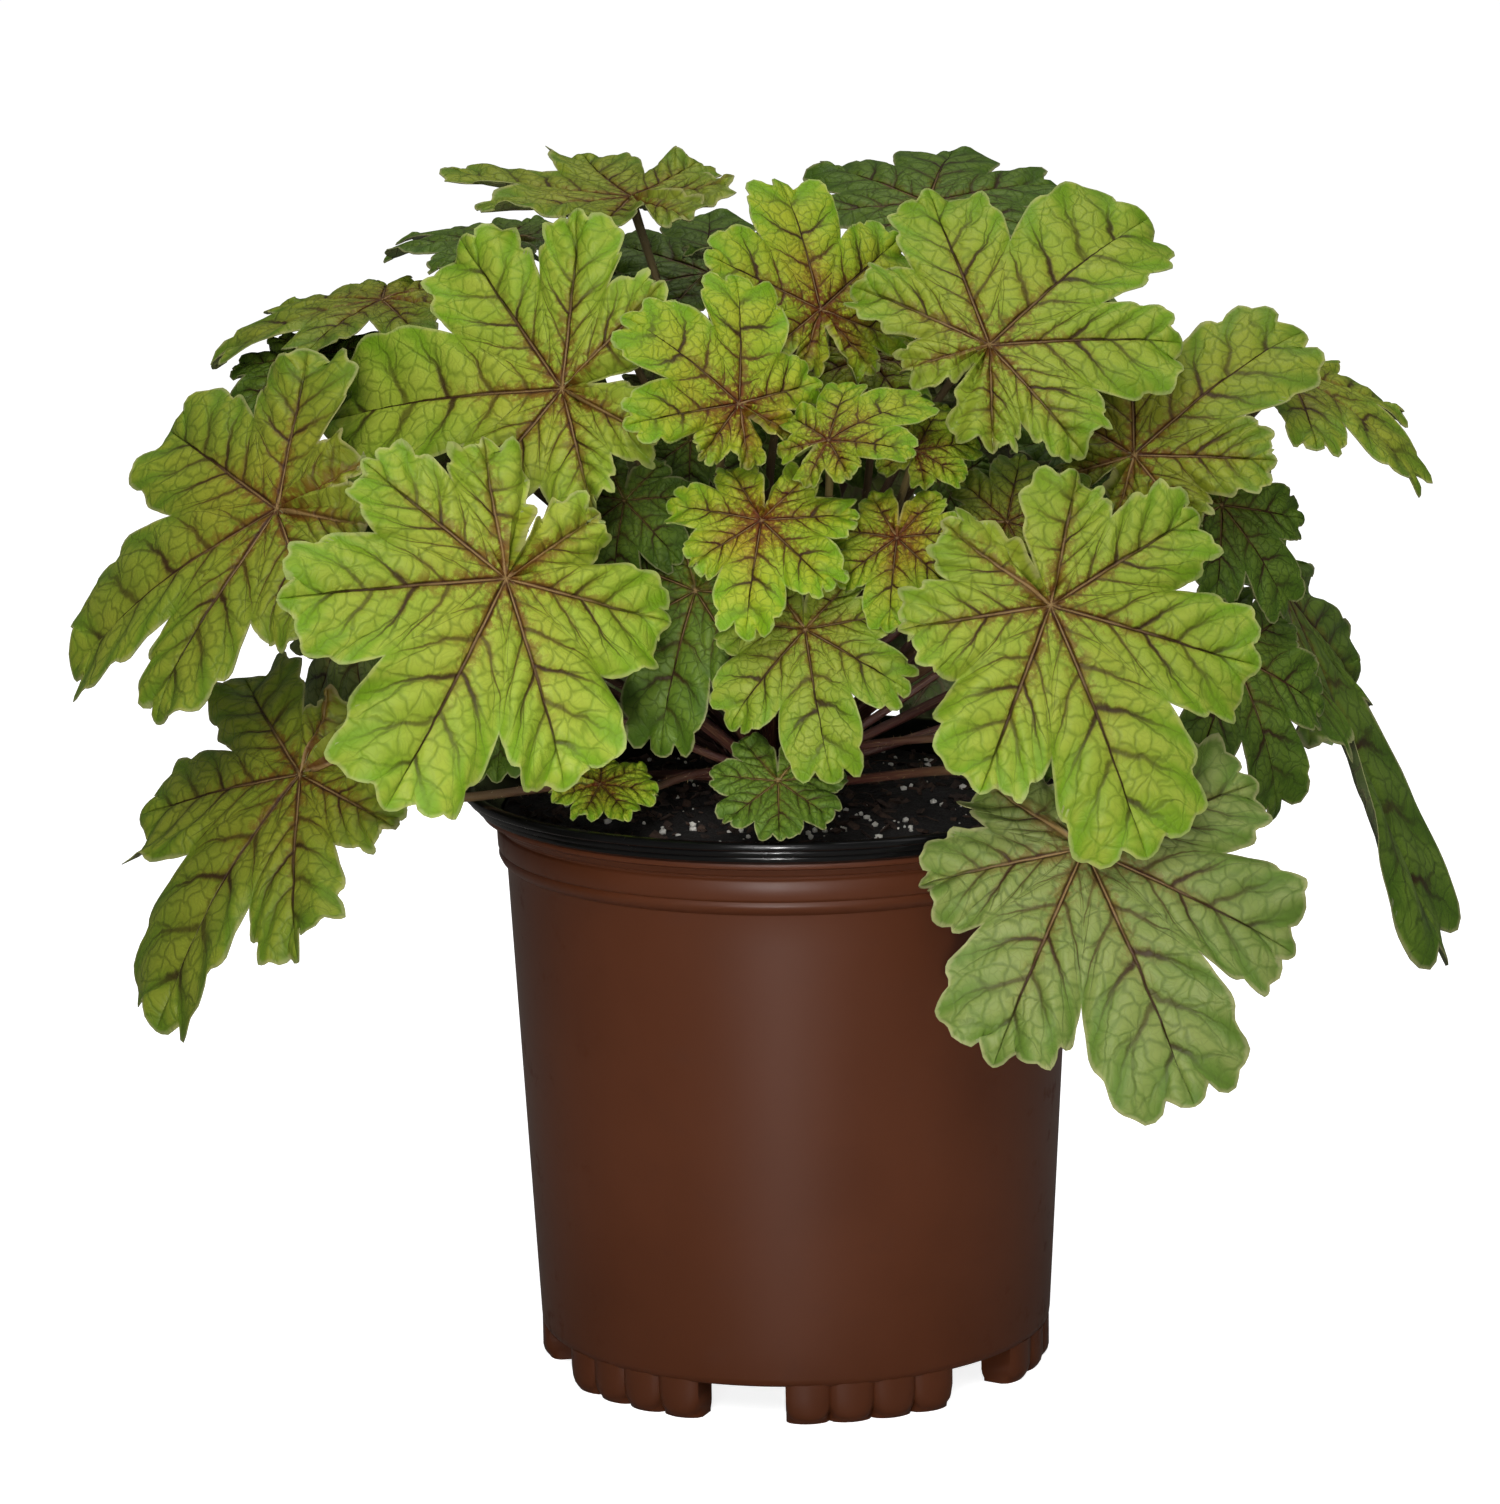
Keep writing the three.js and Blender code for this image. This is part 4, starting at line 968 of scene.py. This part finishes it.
def add_foot(shape, bearing):
    """One foot: a block whose outer face is fluted and whose flutes end in rounded bottoms."""
    share = np.linspace(0, 1, FLUTES * 12 + 1)
    turns = np.radians(bearing + FOOT_SPREAD * (share - 0.5))
    hollow = 1 - np.sqrt(np.abs(np.sin(np.pi * FLUTES * share)))
    levels = (0, 0.25, 0.8, 1.7, 3, 6, FLOOR_Z + 0.4)
    rings = []
    for level in levels:
        tuck = 1.6 * max(0.0, 1 - level / 3) ** 2
        rounded = hollow * max(0.0, 1 - level / 6)
        outer = WALL_BASE_RADIUS - FLUTE_DEPTH * hollow - tuck - rounded
        rings.append(ring(outer, turns, level + 2.4 * rounded * (level > 0)))
        rings.append(ring(FOOT_INNER_RADIUS + min(tuck, 0.8), turns[::-1], level))
    size = 2 * len(share)
    faces = between_rings(len(levels), size)
    top = (len(levels) - 1) * size
    for i in range(len(share) - 1):
        j = size - 1 - i
        faces += [(i, j, j - 1, i + 1), (top + i, top + i + 1, top + j - 1, top + j)]
    shape.add(np.concatenate(rings), faces)


def build_pot():
    """The pot: one turned shell with its drain holes cut, and six fluted feet."""
    finishes = [finish("pot_brown", pot_plastic, look().pot_brown, 0.4, 0.2),
                finish("pot_black", pot_plastic, look().pot_black, 0.17, 0.15)]
    shell, drill = Shape(), Shape()
    shell.add(*lathe(pot_profile(), POT_SEGMENTS))
    for k in range(FEET):
        side = math.radians(FIRST_FOOT + (k + 0.5) * 360 / FEET)
        centre = DRAIN_RING * heading(side) + (0, 0, FLOOR_Z - 4)
        points, faces, _ = sweep([centre, centre + (0, 0, 10)], (DRAIN_RADIUS, DRAIN_RADIUS), 32)
        drill.add(points, faces)
    pot = shell.build("dressed_pot", finishes)
    cutter = drill.build("drill", finishes)
    cut = pot.modifiers.new("drain holes", "BOOLEAN")
    cut.operation, cut.object, cut.solver = "DIFFERENCE", cutter, "EXACT"
    bpy.context.view_layer.update()
    drilled = bpy.data.meshes.new_from_object(
        pot.evaluated_get(bpy.context.evaluated_depsgraph_get()))
    bpy.data.objects.remove(pot)
    bpy.data.objects.remove(cutter)
    whole = Shape()
    whole.add([[c / MM for c in vertex.co] for vertex in drilled.vertices],
              [list(polygon.vertices) for polygon in drilled.polygons])
    whole.finishes = [int(is_black(polygon)) for polygon in drilled.polygons]
    for k in range(FEET):
        add_foot(whole, FIRST_FOOT + k * 360 / FEET)
    return place(whole.build("dressed_pot", finishes, sharp=38), "pot_plastic", "pot")


def is_black(polygon):
    """The rim and everything inside the pot is the black layer of the moulding."""
    centre, normal = polygon.center / MM, polygon.normal
    inward = centre.x * normal.x + centre.y * normal.y < 0
    return centre.z > 143.7 or (inward and centre.z > FLOOR_Z + 1)


def soil_height(x, y):
    """Height of the soil: heaped towards the crown, lumpy all over."""
    share = math.hypot(x, y) / BAND_RADIUS
    spot = Vector((x, y, 0))
    lumps = sum(size * noise.noise(spot * often)
                for size, often in ((1.6, 0.09), (0.9, 0.31), (0.5, 0.9)))
    settled = min(1.0, BAND_RADIUS * (1 - share) / 8)
    return SOIL_EDGE_Z - 0.6 + SOIL_HEAP * (1 - share ** 2) + lumps * (0.4 + 0.6 * settled)


def potting_mix(tree):
    """Dark peat and bark: near black with brown crumbs."""
    crumbs = shared(tree, grain, {"Scale": 210.0})
    coarse, fine = crumbs["Coarse"], crumbs["Fine"]
    return {
        "Base Color": layered(look().soil, (coarse.fade(0.35, 0.7), [c * 2 for c in look().soil]),
                              (fine.fade(0.58, 0.72, 0.0, 0.8), look().bark)),
        "Roughness": fine.fade(0.3, 0.7, 0.75, 1.0),
        "Normal": (coarse * 0.8 + fine * 0.5).bump(0.0016),
    }


def bit_finish(tree, tint, spread):
    """Finish of the loose bits, varied from one to the next and over each."""
    marks = shared(tree, grain, {"Scale": 320.0})
    pale = [min(1.0, c * (1 + spread)) for c in tint]
    deep = [c / (1 + spread) for c in tint]
    return {
        "Base Color": layered(pale, (marks["Coarse"].fade(0.3, 0.7), deep)),
        "Roughness": marks["Fine"].fade(0.3, 0.7, 0.7, 0.95),
        "Normal": marks["Fine"].bump(0.0004, 0.8),
    }


def build_soil():
    """The potting mix down to the pot's floor, lumpy on top."""
    edge = BAND_RADIUS - WALL - GAP
    base = WALL_BASE_RADIUS + WALL_SLOPE * WALL - WALL - GAP
    profile = [(0, FLOOR_Z + WALL + GAP), (base - 3, FLOOR_Z + WALL + GAP), (base - 0.6, 15),
               (WALL_TOP_RADIUS - WALL - GAP, WALL_TOP_Z), (edge, WALL_TOP_Z + 3)]
    profile += [(edge * (k / SOIL_RINGS), SOIL_EDGE_Z) for k in range(SOIL_RINGS, -1, -1)]
    points, faces = lathe(profile, SOIL_SEGMENTS)
    for point in points:
        if point[2] >= SOIL_EDGE_Z:
            point[2] = soil_height(point[0], point[1])
    shape = Shape()
    shape.add(points, faces)
    piece = shape.build("dressed_soil", [finish("potting_mix", potting_mix)], sharp=75)
    return place(piece, "potting_soil", "potting_soil")


def on_soil(draw, inner, outer):
    """A seeded spot on the soil, between two radii."""
    radius = math.sqrt(inner ** 2 + (outer ** 2 - inner ** 2) * next(draw))
    x, y, _ = radius * heading(2 * math.pi * next(draw))
    return np.array((x, y, soil_height(x, y)))


def turned(points, draw, lean):
    """Points turned by a seeded bearing, tilt and roll."""
    turn = Matrix.Rotation(2 * math.pi * next(draw), 3, "Z")
    for axis in "YX":
        turn = turn @ Matrix.Rotation(lean * (2 * next(draw) - 1), 3, axis)
    return np.array([turn @ Vector(point) for point in points])


def build_bits():
    """Loose bark, wood fibre and white perlite in the soil's surface."""
    draw = seeded(BITS_SEED)
    bark = Shape()
    box = ((0, 1, 3, 2), (4, 6, 7, 5), (0, 4, 5, 1), (2, 3, 7, 6), (0, 2, 6, 4), (1, 5, 7, 3))
    for number in range(look().bark_bits):
        spot = on_soil(draw, 12, 70) + (0, 0, 0.25)
        long = 1.2 + 3.4 * next(draw) ** 2
        wide = 0.7 + 1.6 * next(draw)
        thick = 0.3 + 0.8 * next(draw)
        corners = [((i - 0.5) * long * (0.75 + 0.5 * next(draw)),
                    (j - 0.5) * wide * (0.7 + 0.6 * next(draw)),
                    (k - 0.5) * thick * (0.7 + 0.6 * next(draw)))
                   for i in (0, 1) for j in (0, 1) for k in (0, 1)]
        bark.add(turned(corners, draw, 0.7) + spot, box, number % 2)
    for _ in range(look().fibres):
        spot = on_soil(draw, 14, 69) + (0, 0, 0.2)
        bend = 1.5 + 3 * next(draw)
        line = [(t * 5, bend * t * t / 3, 0.8 * (1 - abs(t))) for t in np.linspace(-1, 1, 7)]
        points, faces, _ = sweep(turned(line, draw, 0.25) + spot, np.full(7, 0.16), 5)
        bark.add(points, faces, 1)
    brown = [c * 1.9 for c in look().bark]
    finishes = [finish("bark_dark", bit_finish, look().bark, 0.6),
                finish("bark_brown", bit_finish, brown, 0.5)]
    place(bark.build("bark_bits", finishes, sharp=30), "potting_soil")

    perlite = Shape()
    gold = (1 + math.sqrt(5)) / 2
    corners = np.array([
        (-1, gold, 0), (1, gold, 0), (-1, -gold, 0), (1, -gold, 0), (0, -1, gold), (0, 1, gold),
        (0, -1, -gold), (0, 1, -gold), (gold, 0, -1), (gold, 0, 1), (-gold, 0, -1), (-gold, 0, 1)])
    corners /= math.hypot(1, gold)
    sides = ((0, 11, 5), (0, 5, 1), (0, 1, 7), (0, 7, 10), (0, 10, 11), (1, 5, 9), (5, 11, 4),
             (11, 10, 2), (10, 7, 6), (7, 1, 8), (3, 9, 4), (3, 4, 2), (3, 2, 6), (3, 6, 8),
             (3, 8, 9), (4, 9, 5), (2, 4, 11), (6, 2, 10), (8, 6, 7), (9, 8, 1))
    for _ in range(look().perlite):
        spot = on_soil(draw, 15, 70)
        size = 0.25 + 0.8 * next(draw) ** 2
        lump = [corner * size * (0.75 + 0.5 * next(draw)) for corner in corners]
        perlite.add(lump + spot + (0, 0, 0.3 * size), sides)
    white = finish("perlite", bit_finish, look().perlite_white, 0.15)
    place(perlite.build("perlite", [white], sharp=25), "potting_soil")


def crown_bark(tree):
    """Red-brown woody skin with dark and pale specks."""
    marks = shared(tree, grain, {"Scale": 180.0})
    coarse, fine = marks["Coarse"], marks["Fine"]
    return {
        "Base Color": layered(look().stalk_foot, (coarse.fade(0.35, 0.65), look().crown),
                              (fine.fade(0.55, 0.75, 0.0, 0.6), look().midrib)),
        "Roughness": fine.fade(0.3, 0.7, 0.6, 0.9),
        "Normal": (coarse * 0.7 + fine * 0.5).bump(0.0012),
    }


def add_scale(shape, draw):
    """One dry scale or bud that stands up from the crown."""
    climb = math.radians(5 + 70 * next(draw))
    way = heading(2 * math.pi * next(draw), climb)
    foot = CROWN + way * (crown_reach(way) - 0.6)
    side = unit(np.cross(way, (0, 0, 1.0)))
    up = unit(np.cross(side, way) + way * (0.5 + 0.6 * next(draw)))
    out = np.cross(up, side)
    long, wide = 4.5 + 4 * next(draw), 1.3 + 0.9 * next(draw)
    points = []
    for t in np.linspace(0, 1, SCALE_ROWS):
        half = wide * math.sin(math.pi * (0.22 + 0.76 * t)) ** 0.8
        centre = foot + up * long * t + out * 1.2 * t * t
        points += [centre - side * half, centre + out * 0.35 * (1 - t) + out * 0.12,
                   centre + side * half, centre - out * 0.12]
    shape.add(points, bar_faces(SCALE_ROWS, 4))


def build_crown():
    """The knobbly crown, with the dry scales and buds round its stalks."""
    points = []
    for row in range(CROWN_ROWS + 1):
        climb = math.pi * (row / CROWN_ROWS - 0.5)
        for k in range(CROWN_SEGMENTS if 0 < row < CROWN_ROWS else 1):
            way = heading(2 * math.pi * k / CROWN_SEGMENTS, climb)
            point = CROWN + way * crown_reach(way)
            point[2] = max(point[2], CROWN[2] - 0.9 * CROWN_DEPTH)
            points.append(point)
    shape = Shape()
    shape.add(points, globe_faces(CROWN_ROWS - 1, CROWN_SEGMENTS))
    draw = seeded(SCALES_SEED)
    for _ in range(look().scales):
        add_scale(shape, draw)
    piece = shape.build("dressed_crown", [finish("crown_bark", crown_bark)])
    return place(piece, "crown_wood", "crown")


def floor_white(tree):
    """White sweep, which looks lit from the camera and bounces less light on the plant."""
    lit = Mask(tree.nodes["Principled BSDF"].outputs[0])
    unseen = add(tree, "ShaderNodeBsdfDiffuse", {"Color": look().floor_bounce})
    seen = add(tree, "ShaderNodeLightPath", {}, "Is Camera Ray")
    both = add(tree, "ShaderNodeMixShader", {0: seen, 1: unseen, 2: lit})
    feed(tree.nodes["Material Output"].inputs["Surface"], both)
    return {"Base Color": look().floor, "Roughness": 0.7, "Emission Color": (1, 1, 1),
            "Emission Strength": look().floor_glow}


def hang(name, kind, at, aim, power, **settings):
    """Hangs a light at one point, aimed at another."""
    light = bpy.data.lights.new(name, kind)
    light.energy = power
    for key, value in settings.items():
        setattr(light, key, value)
    lamp = bpy.data.objects.new(name, light)
    lamp.location = at
    lamp.rotation_euler = (Vector(aim) - lamp.location).to_track_quat("-Z", "Y").to_euler()
    bpy.context.scene.collection.objects.link(lamp)
    return lamp


def build_stage():
    """Pale floor, soft studio light and the camera at the photograph's angle."""
    bpy.ops.mesh.primitive_plane_add(size=12, location=(0, 0, 0))
    floor = bpy.context.object
    floor.name = "floor"
    floor.data.materials.append(finish("floor", floor_white))
    scene = bpy.context.scene
    scene.view_settings.view_transform = "Standard"
    scene.world = bpy.data.worlds.new("studio")
    scene.world.use_nodes = True
    tree = scene.world.node_tree
    mirrored = add(tree, "ShaderNodeLightPath", {}, "Is Glossy Ray")
    seen = add(tree, "ShaderNodeLightPath", {}, "Is Camera Ray")
    strength = mirrored.fade(0.0, 1.0, look().sky, look().mirrored_sky)
    background = tree.nodes["Background"].inputs
    feed(background["Color"], (1, 1, 1))
    feed(background["Strength"], strength.calc("MAXIMUM", seen))

    for name, at, size, share in LIGHTS:
        hang(name, "AREA", at, LIGHTS_AIM, look().key_light * share, size=size)
    lamp = hang("pot spot", "SPOT", POT_SPOT_PLACE, POT_SPOT_AIM, look().pot_spot,
                shadow_soft_size=0.12, spot_size=math.radians(6.4), spot_blend=1.0)
    lamp.scale = (0.62, 1, 1)

    lens = bpy.data.cameras.new("camera")
    lens.sensor_width, lens.lens = 36, look().lens
    lens.clip_start, lens.clip_end = 0.05, 50
    scene.camera = bpy.data.objects.new("camera", lens)
    pitch, roll = math.radians(CAMERA_PITCH), math.radians(CAMERA_ROLL)
    turn = Matrix.Rotation(math.pi / 2 - pitch, 4, "X") @ Matrix.Rotation(roll, 4, "Z")
    back = turn.to_3x3() @ Vector((0, 0, 1))
    scene.camera.matrix_world = Matrix.Translation(Vector(CAMERA_AIM) + back * CAMERA_AWAY) @ turn
    scene.collection.objects.link(scene.camera)


def tint(text, code):
    """A colour that the user can change."""
    return bpy.props.FloatVectorProperty(name=text, description=f"{text} colour", size=3,
                                         subtype="COLOR", min=0, max=1, default=colour(code))


def length(text, note, value):
    return bpy.props.FloatProperty(name=text, description=note, default=value * MM, min=0,
                                   unit="LENGTH")


def amount(text, note, value):
    return bpy.props.FloatProperty(name=text, description=note, default=value, min=0)


def number(text, note, value):
    return bpy.props.IntProperty(name=text, description=note, default=value, min=0)


class PlantLook(bpy.types.PropertyGroup):
    """Sizes and colours of the plant, its pot and the studio."""
    blade_thickness: length("Blade thickness", "Thickness of a leaf's blade", 0.5)
    pucker: length("Pucker", "Height of the blade's swelling between two side veins", 0.9)
    stalk_radius: length("Stalk radius", "Radius of a large leaf's stalk", 1.25)
    hairs: number("Hairs", "Fine hairs on each stalk", 60)
    scales: number("Scales", "Dry scales round the crown", 46)
    bark_bits: number("Bark bits", "Loose bark in the soil's surface", 620)
    fibres: number("Fibres", "Wood fibres in the soil's surface", 40)
    perlite: number("Perlite", "White grains in the soil's surface", 240)
    vein: tint("Main vein", "#2d140c")
    stain: tint("Vein stain", "#5f2b10")
    midrib: tint("Pale midrib", "#a08454")
    flush: tint("Orange flush", "#a07417")
    underside: tint("Underside", "#858c6a")
    under_vein: tint("Underside vein", "#75614a")
    stalk_top: tint("Stalk under the blade", "#6f6038")
    stalk_foot: tint("Stalk at the crown", "#48241c")
    hair: tint("Stalk hair", "#b9ab86")
    crown: tint("Crown", "#38211a")
    soil: tint("Potting mix", "#0f0b09")
    bark: tint("Bark", "#2b1e16")
    perlite_white: tint("Perlite", "#d9d6cc")
    pot_brown: tint("Pot", "#452210")
    pot_black: tint("Pot rim", "#080808")
    floor: tint("Floor", "#e6e6e6")
    floor_bounce: tint("Floor bounce", "#8c8a86")
    floor_glow: amount("Floor glow", "Light that the floor adds, as a lit sweep does", 0.85)
    sky: amount("Sky", "Strength of the even light", 0.2)
    mirrored_sky: amount("Mirrored sky", "Strength of the even light in reflections", 0.12)
    key_light: bpy.props.FloatProperty(name="Key light", description="Power of the main light",
                                       default=25, min=0, unit="POWER")
    pot_spot: bpy.props.FloatProperty(name="Pot spot", description="Power of the light on the pot",
                                      default=270, min=0, unit="POWER")
    lens: bpy.props.FloatProperty(name="Lens", description="Focal length of the camera",
                                  default=133.4, min=1, unit="CAMERA")


def look():
    return bpy.context.scene.plant_look


class PLANT_OT_stage(bpy.types.Operator):
    """Make the floor, the lights and the camera"""
    bl_idname = "plant.stage"
    bl_label = "Stage"

    def execute(self, context):
        build_stage()
        return {"FINISHED"}


class PLANT_OT_pot(bpy.types.Operator):
    """Make the nursery pot"""
    bl_idname = "plant.pot"
    bl_label = "Pot"

    def execute(self, context):
        build_pot()
        return {"FINISHED"}


class PLANT_OT_soil(bpy.types.Operator):
    """Make the potting mix"""
    bl_idname = "plant.soil"
    bl_label = "Potting mix"

    def execute(self, context):
        build_soil()
        return {"FINISHED"}


class PLANT_OT_soil_bits(bpy.types.Operator):
    """Scatter bark, fibres and perlite on the potting mix"""
    bl_idname = "plant.soil_bits"
    bl_label = "Bark and perlite"

    def execute(self, context):
        build_bits()
        return {"FINISHED"}


class PLANT_OT_crown(bpy.types.Operator):
    """Make the crown with its scales"""
    bl_idname = "plant.crown"
    bl_label = "Crown"

    def execute(self, context):
        build_crown()
        return {"FINISHED"}


class PLANT_OT_leaves(bpy.types.Operator):
    """Make every leaf of one size, with its stalk"""
    bl_idname = "plant.leaves"
    bl_label = "Leaves"

    size: bpy.props.EnumProperty(
        name="Size", description="Which leaves to make",
        items=[(key, key.capitalize(), f"The {key} leaves") for key in DETAIL])

    def execute(self, context):
        build_leaves(self.size)
        return {"FINISHED"}


class PLANT_PT_panel(bpy.types.Panel):
    """Buttons for each piece, and its sizes and colours"""
    bl_label = "Potted heucherella"
    bl_space_type = "VIEW_3D"
    bl_region_type = "UI"
    bl_category = "Plant"

    def draw(self, context):
        for operator in ("stage", "pot", "soil", "soil_bits", "crown"):
            self.layout.operator(f"plant.{operator}")
        for size in DETAIL:
            self.layout.operator("plant.leaves", text=f"{size.capitalize()} leaves").size = size
        for name in PlantLook.__annotations__:
            self.layout.prop(context.scene.plant_look, name)


CLASSES = (PlantLook, PLANT_OT_stage, PLANT_OT_pot, PLANT_OT_soil, PLANT_OT_soil_bits,
           PLANT_OT_crown, PLANT_OT_leaves, PLANT_PT_panel)


def register():
    for one in CLASSES:
        bpy.utils.register_class(one)
    bpy.types.Scene.plant_look = bpy.props.PointerProperty(type=PlantLook)


def unregister():
    del bpy.types.Scene.plant_look
    for one in reversed(CLASSES):
        bpy.utils.unregister_class(one)


def main():
    register()
    bpy.ops.plant.stage()
    bpy.ops.plant.pot()
    bpy.ops.plant.soil()
    bpy.ops.plant.soil_bits()
    bpy.ops.plant.crown()
    for size in DETAIL:
        bpy.ops.plant.leaves(size=size)
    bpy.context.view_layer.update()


if __name__ == "__main__":
    main()
